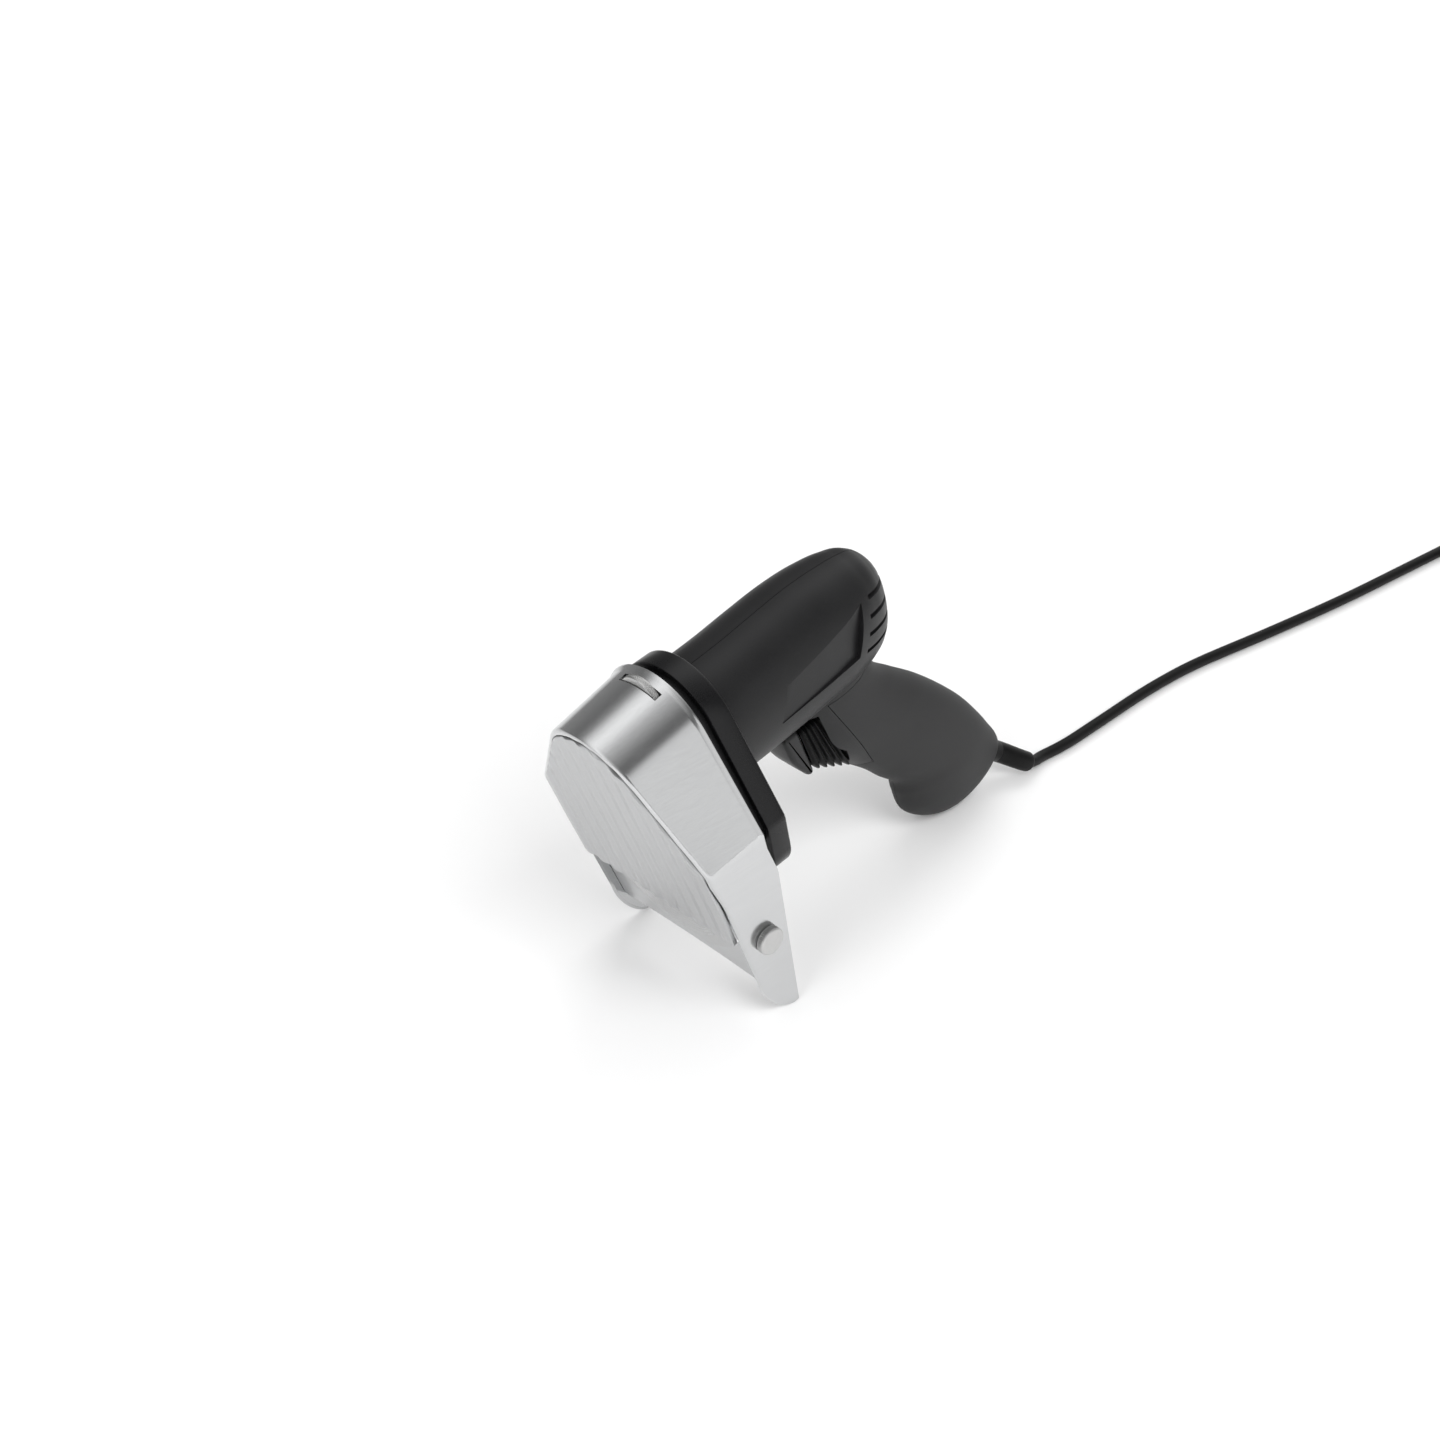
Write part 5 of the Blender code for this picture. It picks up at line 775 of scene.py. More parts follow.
def moved_in(outline, distance):
    """Each corner goes in along the bisector, so that every edge moves by the distance."""
    before = outline - np.roll(outline, 1, axis=0)
    after = np.roll(outline, -1, axis=0) - outline
    first, second = (np.column_stack([-d[:, 1], d[:, 0]]) / np.linalg.norm(d, axis=1, keepdims=True)
                     for d in (before, after))
    return outline + (first + second) * (distance / (1 + (first * second).sum(axis=1, keepdims=True)))


def panel_tool(side):
    """Ruled wedge: nothing at the crease, deepest at the lower rear."""
    share = spread(0, 1, PANEL_STEPS)
    place, lean, foot, crease = (first + (last - first) * share for first, last in PANEL_ENDS.values())
    low = barrel_side(place, foot) - PANEL_DEPTH * (PANEL_FADE + (1 - PANEL_FADE) * share)
    high, out = barrel_side(place - lean, crease), np.full(PANEL_STEPS, BARREL_CLEAR)
    corners = ((place, low, foot), (place, out, foot), (place - lean, out, crease),
               (place - lean, high, crease))
    grid = np.stack([np.stack([x, side * y, z], axis=-1) for x, y, z in corners], axis=1)
    return grid_mesh("panel_tool", grid)


def vent_tool(side, number):
    """A slot that starts behind the panel's leaning rear edge and falls towards the rear."""
    height = VENT_TOP - VENT_PITCH * number
    foot, lean, low, crease = (last for first, last in PANEL_ENDS.values())
    start = foot - lean * (height - low) / (crease - low) - VENT_AIR
    ahead = np.array([np.cos(VENT_FALL), 0, np.sin(VENT_FALL)])
    near, far = sorted((VENT_MIDRIB * side, BARREL_CLEAR * side))
    return block("vent_tool", (-BARREL_LENGTH, near, -VENT_HEIGHT / 2), (0, far, VENT_HEIGHT / 2),
                 on_axes((start, 0, height), ahead, Y, np.cross(ahead, Y)))


def pocket_tool():
    """The space of the bellows in the housing's front."""
    lean = (BELLOWS_FOOT[0] - BELLOWS_TOP[0]) / (BELLOWS_FOOT[1] - BELLOWS_TOP[1])
    top, foot = TRIGGER_Z + TRIGGER_TRAVEL * PULL_RISE + 2 * GAP, BELLOWS_FOOT[1] - 2 * GAP - FOLD
    rear = [BELLOWS_TOP[0] + lean * (z - BELLOWS_TOP[1]) - GAP for z in (top, foot)]
    half = BELLOWS_HALF + FOLD + 2 * GAP
    corners = ((rear[0], top), (rear[1], foot), (TRIGGER_X, foot), (TRIGGER_X, top))
    return slab("pocket_tool", corners, -half, half)


def relief_tool():
    run = RELIEF_RUN / np.linalg.norm(RELIEF_RUN)
    place = on_axes(RELIEF_ROOT, Y, np.cross(run, Y), run)
    return way("relief_tool", RELIEF_BORE, -RELIEF_BACK, RELIEF_AHEAD, 32, place)


def boss_tools(profile):
    return [turned("boss_tool", profile, 28, on_axes((x, 0, z), X, -Z, Y)) for x, z in BOSSES]


def half_tool(side, gap=GAP / 2):
    low, high = (-TOOL_REACH, gap) if side > 0 else (-gap, TOOL_REACH)
    return block("half_tool", (-TOOL_REACH, low, -TOOL_REACH), (TOOL_REACH, high, TOOL_REACH))


print("housing tools ready")

# %% Housing halves and soft covers
BAY = ((0, -0.0126), (0.0246, -0.0126), (0.0246, -0.0840), (0.0220, -0.0840), (0.0220, -0.1089),
       (0, -0.1089))
SCREW_WAY = ((0, -0.066), (0.0033, -0.066), (0.0033, -0.0097), (0.0018, -0.0097), (0.0018, 0.0093), (0, 0.0093))
COVER_WAY = ((0, -0.066), (0.0036, -0.066), (0.0036, 0), (0, 0))
housing = {}
covers = {}
for side, name in ((1, "left"), (-1, "right")):
    grip = grid_mesh("grip_tool", grip_grid())
    carve(grip, slab("seam_tool", SEAM, -TOOL_CLEAR, TOOL_CLEAR))
    carve(grip, grid_mesh("core_tool", grip_grid(COVER_SKIN)), operation="UNION")
    half = grid_mesh("housing_" + name, barrel_grid())
    carve(half, grip, operation="UNION")
    carve(half, turned("bay_tool", BAY, 64, on_motor), pocket_tool(), relief_tool(), *boss_tools(SCREW_WAY))
    carve(half, panel_tool(side), *[vent_tool(side, number) for number in range(VENT_COUNT)])
    carve(half, half_tool(side), solver="MANIFOLD")
    housing[side] = half
    cover = grid_mesh("soft_cover_" + name, grip_grid())
    carve(cover, slab("seam_tool", moved_in(SEAM, GAP), -TOOL_CLEAR, TOOL_CLEAR), operation="INTERSECT")
    carve(cover, grid_mesh("core_tool", grip_grid(COVER_SKIN - GAP)))
    carve(cover, grid_mesh("barrel_tool", barrel_grid(GAP)))
    carve(cover, pocket_tool(), relief_tool(), *(boss_tools(COVER_WAY) if side < 0 else ()))
    carve(cover, half_tool(side), solver="MANIFOLD")
    covers[side] = cover
print("housing faces:", [len(h.data.polygons) for h in housing.values()],
      "cover faces:", [len(c.data.polygons) for c in covers.values()])

# %% [markdown]
# The trigger is a slab with fully rounded edges. Its outline runs smoothly through a few points, and
# towards both sides the outline shrinks along a quarter circle, which rounds every edge alike.

# %% Trigger
TRIGGER_HALF, TRIGGER_HEIGHT, TRIGGER_ROUND, TRIGGER_CORNER = 0.0095, 0.0320, 0.0026, 0.0030
TRIGGER_SHARES = np.array(((0.00, 0.00), (-0.03, -0.20), (-0.11, -0.53), (-0.21, -0.72), (-0.38, -0.97),
                           (-0.49, -0.935), (-0.405, -0.53), (-0.30, 0.00)))


def rounded_corners(outline, radius, steps=6):
    """Each corner of a closed outline is cut back along both edges and joined by a parabola."""
    before, after = np.roll(outline, 1, axis=0), np.roll(outline, -1, axis=0)
    cut = lambda ends: outline + (ends - outline) * np.minimum(
        0.48, radius / np.linalg.norm(ends - outline, axis=1, keepdims=True))
    start, end = cut(before), cut(after)
    t = spread(0, 1, steps)[None, :, None]
    curve = (1 - t) ** 2 * start[:, None] + 2 * t * (1 - t) * outline[:, None] + t ** 2 * end[:, None]
    return curve.reshape(-1, 2)


rough = TRIGGER_SHARES[::-1] * TRIGGER_HEIGHT + np.array([TRIGGER_X, TRIGGER_Z])
smooth_outline = rounded_corners(rough, TRIGGER_CORNER)
rings = []
for angle in np.radians(spread(-90, 90, 19)):
    level = np.sign(angle) * (TRIGGER_HALF - TRIGGER_ROUND) + TRIGGER_ROUND * np.sin(angle)
    ring = moved_in(smooth_outline, TRIGGER_ROUND * (1 - np.cos(angle)))
    rings.append(np.column_stack([ring[:, 0], np.full(len(ring), level), ring[:, 1]]))
trigger = grid_mesh("trigger_lever", np.stack(rings))
print("trigger faces:", len(trigger.data.polygons))

# %% [markdown]
# The bellows is a rubber boot between trigger and housing, with five folds. In section it is a
# rounded rectangle, and from front to back that rectangle swells and shrinks in a cosine wave.

# %% Bellows
FOLDS, FOLD_STEPS, BELLOWS_WALL, BELLOWS_CORNER = 5, 12, 0.0011, 0.0034


def back_at(low, high, height):
    return low[0] + (high[0] - low[0]) * (height - low[1]) / (high[1] - low[1])


def rounded_box(half, low, high, corner, steps=7):
    """Rounded rectangle in the slanted plane of one fold: side ways by y, up along low to high."""
    rise = (high - low) / np.linalg.norm(high - low, axis=-1, keepdims=True)
    length = np.linalg.norm(high - low, axis=-1)
    quarter = spread(0, np.pi / 2, steps)
    ring = []
    for start, y, end in ((0, 1, 1), (np.pi / 2, -1, 1), (np.pi, -1, 0), (1.5 * np.pi, 1, 0)):
        across = y * (half - corner) + corner * np.cos(start + quarter)
        along = end * length + (1 - 2 * end) * corner + corner * np.sin(start + quarter)
        ring.append(np.column_stack([low[0] + rise[0] * along, across, low[1] + rise[1] * along]))
    return np.concatenate(ring)


top_back, middle_back, foot_back = (rough[k] for k in (0, 1, 2))
front_top = np.array([back_at(middle_back, top_back, BELLOWS_TOP[1]) - GAP, BELLOWS_TOP[1]])
foot_level = foot_back[1] + TRIGGER_ROUND
front_foot = np.array([back_at(foot_back, middle_back, foot_level) - GAP, foot_level])


def bellows_rings(inset):
    rings = []
    for share in spread(0, 1, FOLD_STEPS * FOLDS + 1):
        swell = FOLD * (1 - np.cos(2 * np.pi * FOLDS * share)) / 2 - inset
        top = front_top * (1 - share) + BELLOWS_TOP * share
        foot = front_foot * (1 - share) + BELLOWS_FOOT * share
        rise = (top - foot) / np.linalg.norm(top - foot)
        low, high = foot - rise * swell, top + rise * swell
        rings.append(rounded_box(BELLOWS_HALF - FOLD + swell, low, high, BELLOWS_CORNER - inset))
    return rings


grid = np.stack(bellows_rings(0) + bellows_rings(BELLOWS_WALL)[::-1])
bellows = grid_mesh("folded_bellows", grid, close_rows=True)
print("bellows faces:", len(bellows.data.polygons))

# %% [markdown]
# The cord's route is a short list of points on the floor, joined by one smooth curve with even steps.
# It leaves the grip in a tapered sleeve, runs off over the table, and the length that nobody sees is
# wound into a flat coil of two layers, with the plug beside it.

# %% Route of the cord
CORD_RADIUS, CORD_SIDES, CORD_SPACING = 0.0031, 20, 0.004
RELIEF_BEND, RELIEF_STRAIGHT, RELIEF_HIDDEN, RELIEF_STEPS = 0.0110, 0.25, 0.0120, 9
RELIEF_RADIUS, RELIEF_TAPER, RELIEF_ROUND, RELIEF_FINE, RELIEF_SIDES = 0.0060, 0.0006, 0.03, 90, 40
CORD_ROUTE = (
    (-0.1550, 0.0106), (-0.1718, 0.0124), (-0.1922, 0.0125), (-0.2134, 0.0123), (-0.2351, 0.0121),
    (-0.2559, 0.0128), (-0.2760, 0.0145), (-0.2947, 0.0174), (-0.3389, 0.0260), (-0.4000, 0.0365),
    (-0.4650, 0.0448))
COIL_CENTRE, COIL_ACROSS, COIL_TURNS = np.array([-0.5320, 0.1010]), 0.0740, 3
COIL_STEP, COIL_CLIMB, COIL_POINTS, COIL_START, COIL_TAIL = 0.0071, 0.0068, 24, np.radians(-97), 4.0


def unit(vector):
    return vector / np.linalg.norm(vector)


def relief_line(steps):
    """Straight out of the grip, then eased sideways by a smooth step."""
    share = spread(0, 1, steps)[:, None]
    turn = np.clip((share - RELIEF_STRAIGHT) / (1 - RELIEF_STRAIGHT), 0, 1)
    out = RELIEF_ROOT + RELIEF_RUN * share + Y * RELIEF_BEND * (3 * turn ** 2 - 2 * turn ** 3)
    return world(np.concatenate([[RELIEF_ROOT - unit(RELIEF_RUN) * RELIEF_HIDDEN], out]))


def smooth_line(points, first, last, spacing):
    """Cubics through the points, walked off in even steps."""
    lengths = np.linalg.norm(np.diff(points, axis=0), axis=1)
    places = np.concatenate([[0], np.cumsum(lengths)])
    slopes = np.zeros_like(points)
    slopes[1:-1] = (points[2:] - points[:-2]) / (places[2:] - places[:-2])[:, None]
    slopes[0], slopes[-1] = first, last
    t = spread(0, 1, 21)[:-1][None, :, None]
    a, b, length = points[:-1, None], points[1:, None], lengths[:, None, None]
    dense = ((2 * t ** 3 - 3 * t ** 2 + 1) * a + (t ** 3 - 2 * t ** 2 + t) * length * slopes[:-1, None]
             + (3 * t ** 2 - 2 * t ** 3) * b + (t ** 3 - t ** 2) * length * slopes[1:, None])
    dense = np.concatenate([dense.reshape(-1, 3), points[-1:]])
    walked = np.concatenate([[0], np.cumsum(np.linalg.norm(np.diff(dense, axis=0), axis=1))])
    even = spread(0, walked[-1], round(walked[-1] / spacing) + 1)
    return np.stack([np.interp(even, walked, dense[:, k]) for k in range(3)], axis=1)


def coil_line(points_to_a_turn):
    """Spiral in on the lower layer, climb, spiral out on the upper: radius falls, then grows."""
    turn = spread(0, 2 * COIL_TURNS, 2 * COIL_TURNS * points_to_a_turn + 1)
    angle = COIL_START - 2 * np.pi * turn
    radius = COIL_ACROSS / 2 + COIL_STEP * (abs(turn - COIL_TURNS) - COIL_TURNS / 2)
    height = CORD_RADIUS + GAP + COIL_CLIMB * np.clip(2 * (turn - COIL_TURNS) + 0.5, 0, 1)
    across = COIL_CENTRE + radius[:, None] * np.column_stack([np.cos(angle), np.sin(angle)])
    points = np.column_stack([across, height])
    going = np.array([np.sin(COIL_START), -np.cos(COIL_START), 0])
    lead = points[0] - going * 2 * CORD_RADIUS
    tail = points[-1] + going * 2 * CORD_RADIUS * COIL_TAIL
    return np.concatenate([[lead], points, [tail]]), going


sleeve_line = relief_line(RELIEF_STEPS)
leaving = unit(sleeve_line[-1] - sleeve_line[-2])
coil, going = coil_line(COIL_POINTS * 2)
exit_point = sleeve_line[-1] + leaving * GAP
floor_points = np.column_stack([CORD_ROUTE, np.full(len(CORD_ROUTE), CORD_RADIUS + GAP)])
route = np.concatenate([[exit_point], floor_points, coil[:1] - going * GAP])
free = smooth_line(route, leaving, going, CORD_SPACING)
cord_line = np.concatenate([free, coil[1:]])

# %% Cord and its sleeve
def tube_grid(line, radii, sides):
    """Rings square to a line: across is level, rise is square to across and to the line."""
    along = np.gradient(line, axis=0)
    along /= np.linalg.norm(along, axis=1, keepdims=True)
    across = np.cross(along, Z)
    across /= np.linalg.norm(across, axis=1, keepdims=True)
    rise = np.cross(across, along)
    angle = spread(0, 2 * np.pi, sides + 1)[:-1][None, :, None]
    radii = np.asarray(radii)[:, None, None]
    return line[:, None] + radii * (np.cos(angle) * across[:, None] + np.sin(angle) * rise[:, None])


still = lambda points: points
cord_radii = np.full(len(cord_line), CORD_RADIUS)
cord = grid_mesh("mains_cord", tube_grid(cord_line, cord_radii, CORD_SIDES), place=still)
sleeve_fine = relief_line(RELIEF_FINE)
walk = spread(0, 1, len(sleeve_fine) - 1)
tip = np.clip((walk - 1 + RELIEF_ROUND) / RELIEF_ROUND, 0, 1)
sleeve_radii = np.concatenate([[RELIEF_RADIUS], RELIEF_RADIUS - RELIEF_TAPER * (walk + tip ** 2)])
sleeve = grid_mesh("cord_sleeve", tube_grid(sleeve_fine, sleeve_radii, RELIEF_SIDES), place=still)
print("cord faces:", len(cord.data.polygons), "sleeve faces:", len(sleeve.data.polygons))

# %% Closing screws
SCREW = [(0, -0.0122), (0.0019, -0.0122), (0.0027, -0.0119), (0.0030, -0.0113), (0.0030, -0.0100),
         (0.0015, -0.0100), (0.0015, 0.0088), (0.0013, 0.0090), (0, 0.0090)]
CROSS_LONG, CROSS_NARROW, CROSS_FLOOR, CROSS_AIR = 0.0017, 0.00035, -0.0110, -0.0130
screws = []
for number, (x, z) in enumerate(BOSSES, 1):
    spot = on_axes((x, 0, z), X, -Z, Y)
    screw = turned("closing_screw_%d" % number, SCREW, 36, spot)
    cross = [block("cross_tool", (-a, -b, CROSS_AIR), (a, b, CROSS_FLOOR), spot)
             for a, b in ((CROSS_LONG, CROSS_NARROW), (CROSS_NARROW, CROSS_LONG))]
    screws.append(carve(screw, *cross))
print("screws:", len(screws))

# %% [markdown]
# Finishes. Sheet steel is never one even grey: its rolled grain runs one way, its roughness changes
# in soft patches where it was polished, and fine scratches cross it. The mouldings have a spark
# eroded texture that is felt more than seen, and the grip's soft cover is paler and more matt.

# %% Steel
def steel(name, colour, rough, grain, stretch, turn=(0, 0, 0), scratch=0.03):
    """Grain is noise drawn out along one axis; patches of wear lift the roughness a little."""
    made = Finish(name, colour, Metallic=1.0)
    lines = made.noise(grain, 3, stretch, turn)
    patches = made.noise(26, 3)
    marks = made.between(made.noise(grain * 0.16, 5, stretch, turn), 0.62, 0.72)
    made.feed("Roughness", rough + 0.05 * (lines - 0.5) + 0.08 * (patches - 0.5) + scratch * marks)
    darker = tuple(0.95 * c for c in colour)
    made.feed("Base Color", made.mix(made.between(lines * 0.6 + patches * 0.4, 0.36, 0.64), darker, colour))
    made.bump(lines, 0.00001, 0.15)
    return made


STEEL_COLOUR, BLADE_COLOUR, NICKEL_COLOUR = (0.60, 0.605, 0.61), (0.54, 0.545, 0.55), (0.56, 0.56, 0.555)
hood_steel = steel("hood_steel", STEEL_COLOUR, 0.19, 900, (0.05, 1, 1))
plate_steel = steel("plate_steel", (0.49, 0.495, 0.50), 0.30, 1400, (1, 1, 0.05), (0, 0, 0))
bar_steel = steel("bar_steel", (0.56, 0.565, 0.57), 0.30, 1200, (1, 0.05, 1))
nickel = steel("nickel_plate", NICKEL_COLOUR, 0.38, 700, (1, 1, 1), scratch=0.02)
zinc = steel("zinc_plate", (0.45, 0.45, 0.46), 0.38, 600, (1, 1, 1))
cast = steel("cast_alloy", (0.55, 0.55, 0.55), 0.5, 1800, (1, 1, 1))
iron = steel("core_iron", (0.35, 0.34, 0.33), 0.45, 1500, (0.05, 1, 1))
ferrite = steel("ferrite", (0.16, 0.16, 0.17), 0.55, 1500, (1, 1, 1))
bronze = steel("bearing_bronze", (0.60, 0.42, 0.16), 0.35, 900, (1, 1, 1))


def ground_blade():
    """Grinding marks are rings about the spindle: noise of the distance from the axis alone."""
    made = Finish("ground_blade", BLADE_COLOUR, Metallic=1.0)
    centre = world(face((0, -BLADE_DROP, 0)))
    local = made.node("ShaderNodeVectorMath", made.place, tuple(-centre), operation="ADD")
    out = tuple(np.array(JOINTS["blade_spin"]["axis"]))
    depth = made.node("ShaderNodeVectorMath", local, out, out="Value", operation="DOT_PRODUCT")
    reach = made.node("ShaderNodeVectorMath", local, out="Value", operation="LENGTH")
    radius = (reach ** 2.0 - depth ** 2.0) ** 0.5
    spot = made.node("ShaderNodeCombineXYZ", radius, depth)
    rings = made.node("ShaderNodeTexNoise", sockets={"Vector": spot, "Scale": 2600.0, "Detail": 3.0})
    ground = made.between(radius, BLADE_RADIUS - BEVEL_WIDTH - 0.0001, BLADE_RADIUS - BEVEL_WIDTH + 0.0001)
    made.feed("Roughness", 0.20 + 0.14 * rings + 0.08 * ground)
    made.feed("Base Color", made.mix(rings, (0.50, 0.50, 0.50), BLADE_COLOUR))
    made.bump(rings, 0.00002, 0.3)
    return made


blade_steel = ground_blade()
metals = [made.name for made in bpy.data.materials]
print("metals:", metals)

# %% Plastics and rubber
def moulding(name, colour, rough, grain, depth, spread_of=0.16, **fixed):
    """Spark eroded texture in the bump, slow patches of handling in colour and roughness."""
    made = Finish(name, colour, **fixed)
    texture = made.noise(grain, 2)
    patches = made.noise(34, 4)
    made.feed("Roughness", rough + spread_of * (patches - 0.5) + 0.10 * (texture - 0.5))
    paler = tuple(min(1, 1.35 * c + 0.002) for c in colour)
    made.feed("Base Color", made.mix(made.between(0.6 * patches + 0.4 * texture, 0.35, 0.7), colour, paler))
    made.bump(texture, depth, 0.5)
    return made


SHINE, BOOT_SHINE, CORD_SHINE = 0.3, 0.15, 0.2
housing_plastic = moulding("housing_plastic", (0.008, 0.008, 0.0085), 0.42, 1500, 0.00008,
                           Specular_IOR_Level=SHINE)
collar_plastic = moulding("collar_plastic", (0.004, 0.004, 0.0045), 0.30, 1300, 0.00003,
                          Specular_IOR_Level=SHINE)
cover_rubber = moulding("cover_rubber", (0.018, 0.018, 0.0185), 0.58, 1700, 0.00010,
                        Specular_IOR_Level=SHINE)
trigger_plastic = moulding("trigger_plastic", (0.014, 0.014, 0.0145), 0.40, 1500, 0.00006,
                           Specular_IOR_Level=SHINE)
boot_rubber = moulding("boot_rubber", (0.0015, 0.0015, 0.0015), 0.38, 1200, 0.00003,
                       Specular_IOR_Level=BOOT_SHINE)
cord_rubber = moulding("cord_rubber", (0.003, 0.003, 0.003), 0.46, 900, 0.00005,
                       Specular_IOR_Level=CORD_SHINE)
plain_plastic = moulding("inner_plastic", (0.03, 0.03, 0.032), 0.5, 1200, 0.00004)
nylon = moulding("gear_nylon", (0.68, 0.65, 0.58), 0.45, 1100, 0.00004)
print("finishes:", len(bpy.data.materials))

# %% [markdown]
# Now every piece gets its finish, the body that carries it, and the CAD nodes it
# stands for. Nodes that keep their solids get a finish in place of the plain colour.

# %% Dressing the pieces
def dress(made, finish, body, slot, *nodes, angle=35):
    """Smooth shading with sharp edges kept, one finish, one body."""
    made.data.materials.clear()
    made.data.materials.append(finish.material)
    made.data.polygons.foreach_set("material_index", np.zeros(len(made.data.polygons), int))
    made.data.shade_smooth()
    made.data.set_sharp_from_angle(angle=np.radians(angle))
    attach(made, body)
    if nodes:
        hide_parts(*nodes)


dress(hood, hood_steel, "guard", "steel", "head_shell", angle=30)
dress(bar, bar_steel, "guard", "steel", "guide_bar", angle=30)
dress(plate, plate_steel, "tool", "steel", "front_plate", angle=50)
dress(blade, blade_steel, "cutter", "blade_steel", "blade", angle=8)
dress(wheel, nickel, "wheel", "fittings", "adjusting_wheel", angle=50)
dress(knobs[1], nickel, "knob_left", "fittings", "thumb_screw_left", angle=40)
dress(knobs[-1], nickel, "knob_right", "fittings", "thumb_screw_right", angle=40)
dress(collar, collar_plastic, "tool", "collar_plastic", "collar", angle=30)
dress(trigger, trigger_plastic, "trigger_unit", "black_plastic", "trigger", angle=50)
dress(bellows, boot_rubber, "tool", "black_rubber", "trigger_bellows", angle=60)
dress(sleeve, cord_rubber, "tool", "black_rubber", "strain_relief", angle=50)
dress(cord, cord_rubber, "tool", "black_rubber", "cord_free", "cord_coil", angle=60)
for side, name in ((1, "left"), (-1, "right")):
    dress(housing[side], housing_plastic, "tool", "black_plastic", "body_" + name, angle=28)
    dress(covers[side], cover_rubber, "tool", "soft_grip", "grip_cover_" + name, angle=28)
for number, screw in enumerate(screws, 1):
    dress(screw, nickel, "tool", "fittings", "body_screw_%d" % number)

KEPT = {
    nickel: ("adjusting_stud", "blade_screw", "blade_spindle", "idler_axle"),
    cast: ("gear_case", "gear_cover"), ferrite: ("motor_magnets",), iron: ("rotor_core",),
    zinc: ("motor_can", "front_bearing", "rear_bearing", "rotor_shaft", "motor_pinion", "spindle_gear"),
    bronze: ("spindle_bush_front", "spindle_bush_rear", "commutator", "plug_pin_1", "plug_pin_2"),
    nylon: ("idler_gear", "switch_plunger"), plain_plastic: ("motor_end_cap", "cooling_fan"),
    cord_rubber: ("motor_mount_front", "motor_mount_rear", "plug_body")}
for finish, names in KEPT.items():
    for name in names:
        kept = NODES[name]
        kept.data.materials.clear()
        kept.data.materials.append(finish.material)
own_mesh(bellows)
print("dressed nodes:", sum(len(names) for names in KEPT.values()))

# %% [markdown]
# A white floor that runs out of sight, a white surround, and three soft lamps. The surround lights
# the tool at a plain level and shows as pure white. Steel sees a studio in it instead, from the far
# side over the top to the near side: a dark wall, a soft window overhead, a dark stretch and a bright
# near wall. The lamps are large, so that shadows stay soft, and steel doesn't mirror them. Far from
# the tool the floor glows a little for the camera alone, so that it runs into the white.

# %% Stage and light
DIFFUSE_GLOW, FULL_GLOW = 0.62, 1.4
STUDIO_GLOW = [(-1.0, 0.32), (-0.90, 0.26), (-0.77, 0.20), (-0.62, 0.34), (-0.42, 1.1), (-0.24, 1.4),
               (-0.08, 1.2), (0.12, 0.75), (0.42, 0.40), (0.60, 0.20), (0.74, 0.17), (0.83, 0.95), (1.0, 1.0)]
FLOOR_HALF, FLOOR_GREY, FLOOR_GLOW, GLOW_START, GLOW_FULL = 4, 0.93, 0.4, 0.45, 1.4
AIM = (0, 0, 0.08)
LAMPS = {"lamp_key": ((0.2, 1.1, 1.3), (0.9, 0.9), 14), "lamp_front": ((1.3, 0.3, 0.8), (0.7, 0.9), 7),
         "lamp_rear": ((-0.9, -0.6, 1.2), (1.0, 0.6), 6)}


def lamp(name, place, size, power):
    """A soft rectangular lamp that looks at the middle of the tool."""
    light = bpy.data.lights.new(name, "AREA")
    light.shape = "RECTANGLE"
    light.size, light.size_y = size
    light.energy = power
    made = bpy.data.objects.new(name, light)
    bpy.context.scene.collection.objects.link(made)
    made.location = place
    made.visible_glossy = False
    made.rotation_euler = (Vector(AIM) - Vector(place)).to_track_quat("-Z", "Y").to_euler()
    return made


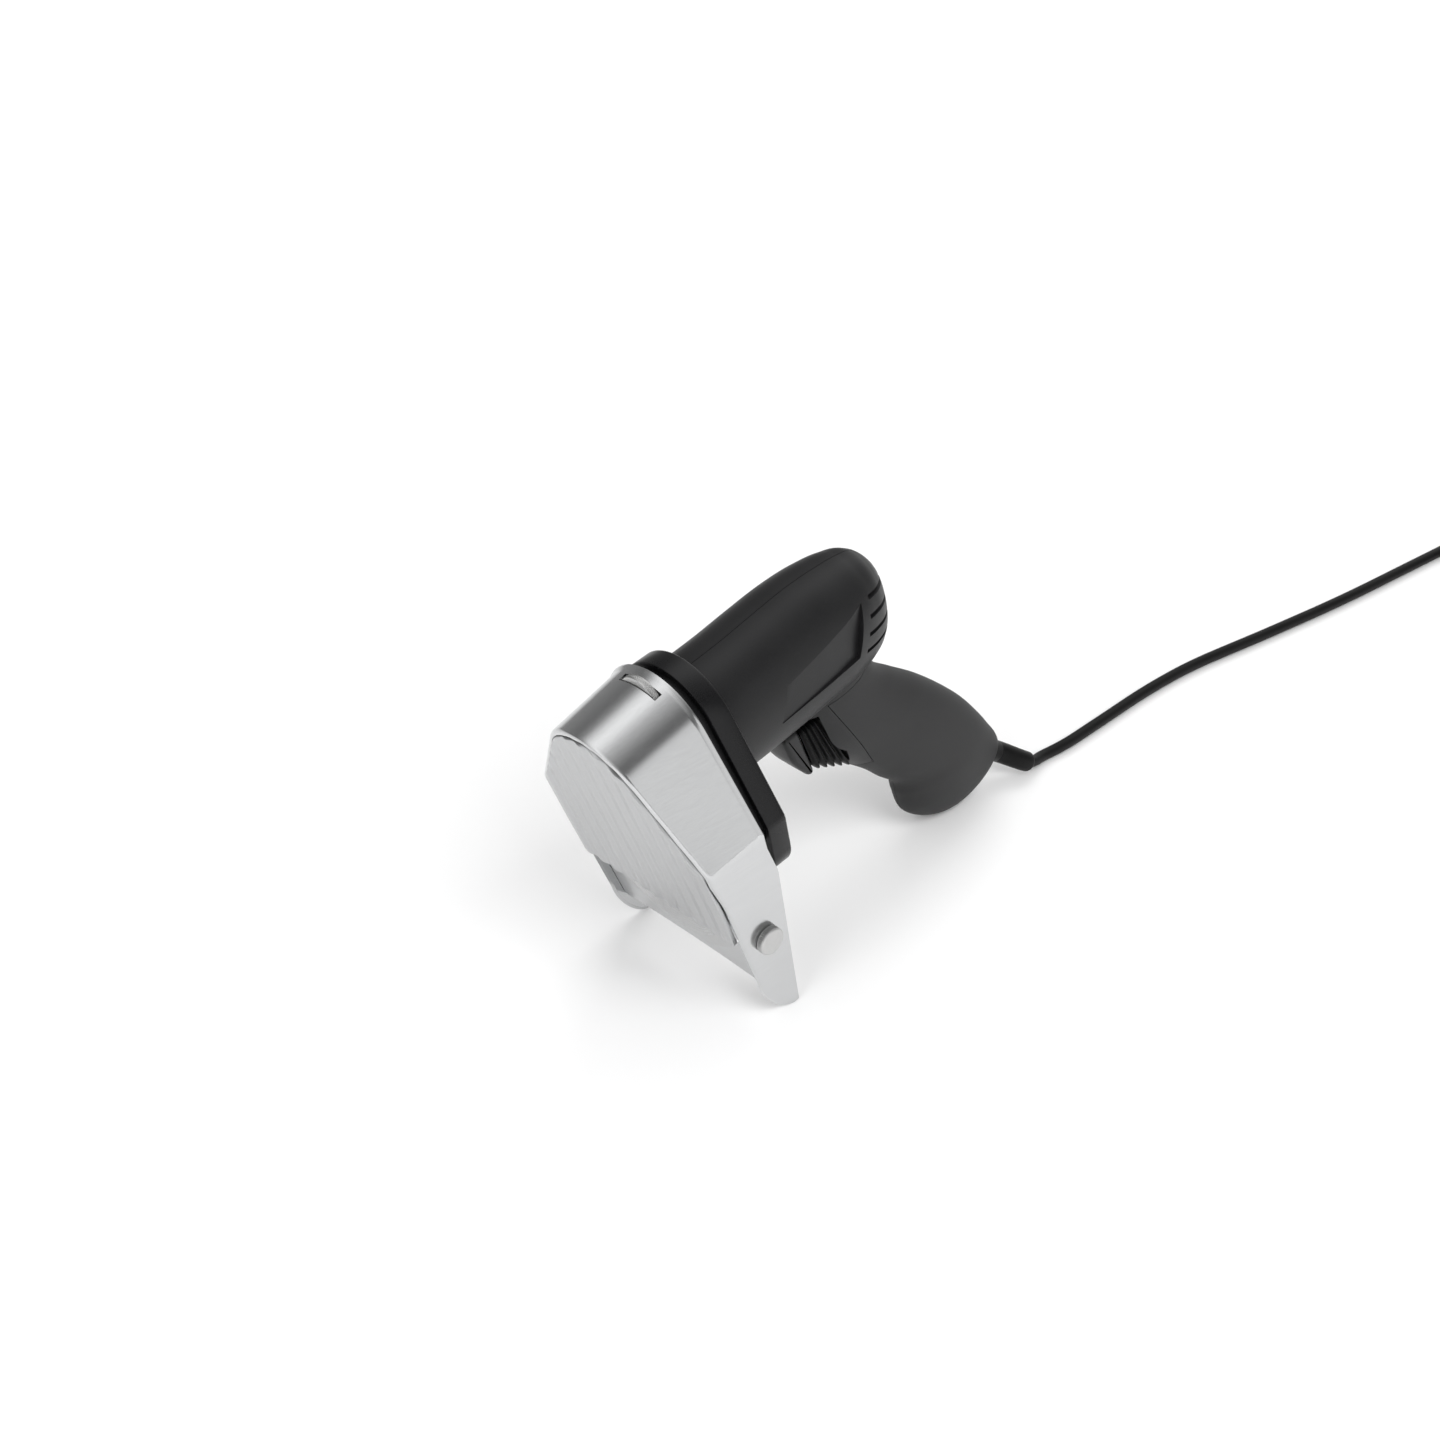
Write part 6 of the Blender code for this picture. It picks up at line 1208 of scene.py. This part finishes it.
corners = np.array([(-1, -1, 0), (1, -1, 0), (1, 1, 0), (-1, 1, 0)]) * FLOOR_HALF
mesh = bpy.data.meshes.new("floor")
mesh.from_pydata(corners.astype(float), [], [(0, 1, 2, 3)])
floor = bpy.data.objects.new("floor", mesh)
bpy.context.scene.collection.objects.link(floor)
floor_paint = Finish("floor_paint", (FLOOR_GREY,) * 3, Roughness=0.7, Specular_IOR_Level=0.2,
                     Emission_Strength=FLOOR_GLOW)
away = floor_paint.node("ShaderNodeVectorMath", floor_paint.place, out="Value", operation="LENGTH")
camera_ray = floor_paint.node("ShaderNodeLightPath", out="Is Camera Ray")
floor_paint.feed("Emission Color", camera_ray * floor_paint.between(away, GLOW_START, GLOW_FULL))
floor.data.materials.append(floor_paint.material)

surround = bpy.data.worlds.new("surround")
bpy.context.scene.world = surround
surround.use_nodes = True
tree = surround.node_tree
rays = tree.nodes.new("ShaderNodeLightPath")
direction = tree.nodes.new("ShaderNodeTexCoord")
parts = tree.nodes.new("ShaderNodeSeparateXYZ")
tree.links.new(direction.outputs["Generated"], parts.inputs[0])


def ranged(value, low, high, to_low, to_high):
    """A straight step between two strengths; both ends are sockets or numbers."""
    made = tree.nodes.new("ShaderNodeMapRange")
    tree.links.new(value, made.inputs["Value"])
    for key, end in (("From Min", low), ("From Max", high), ("To Min", to_low), ("To Max", to_high)):
        if isinstance(end, (int, float)):
            made.inputs[key].default_value = end
        else:
            tree.links.new(end, made.inputs[key])
    return made.outputs[0]


studio = tree.nodes.new("ShaderNodeValToRGB")
stops = studio.color_ramp.elements
while len(stops) < len(STUDIO_GLOW):
    stops.new(1)
for stop, (side, glow) in zip(stops, STUDIO_GLOW):
    stop.position = (side + 1) / 2
    stop.color = (*[glow / FULL_GLOW] * 3, 1)
tree.links.new(ranged(parts.outputs["Y"], -1, 1, 0, 1), studio.inputs["Fac"])
mirrored = ranged(studio.outputs["Color"], 0, 1, 0, FULL_GLOW)
strength = ranged(rays.outputs["Is Glossy Ray"], 0, 1, DIFFUSE_GLOW, mirrored)
for ray in ("Is Camera Ray", "Is Transmission Ray"):
    strength = ranged(rays.outputs[ray], 0, 1, strength, 1)
tree.links.new(strength, tree.nodes["Background"].inputs["Strength"])
tree.nodes["Background"].inputs["Color"].default_value = (1, 1, 1, 1)

for name, (place, size, power) in LAMPS.items():
    lamp(name, place, size, power)
bpy.context.scene.view_settings.view_transform = "Standard"
print("stage ready")
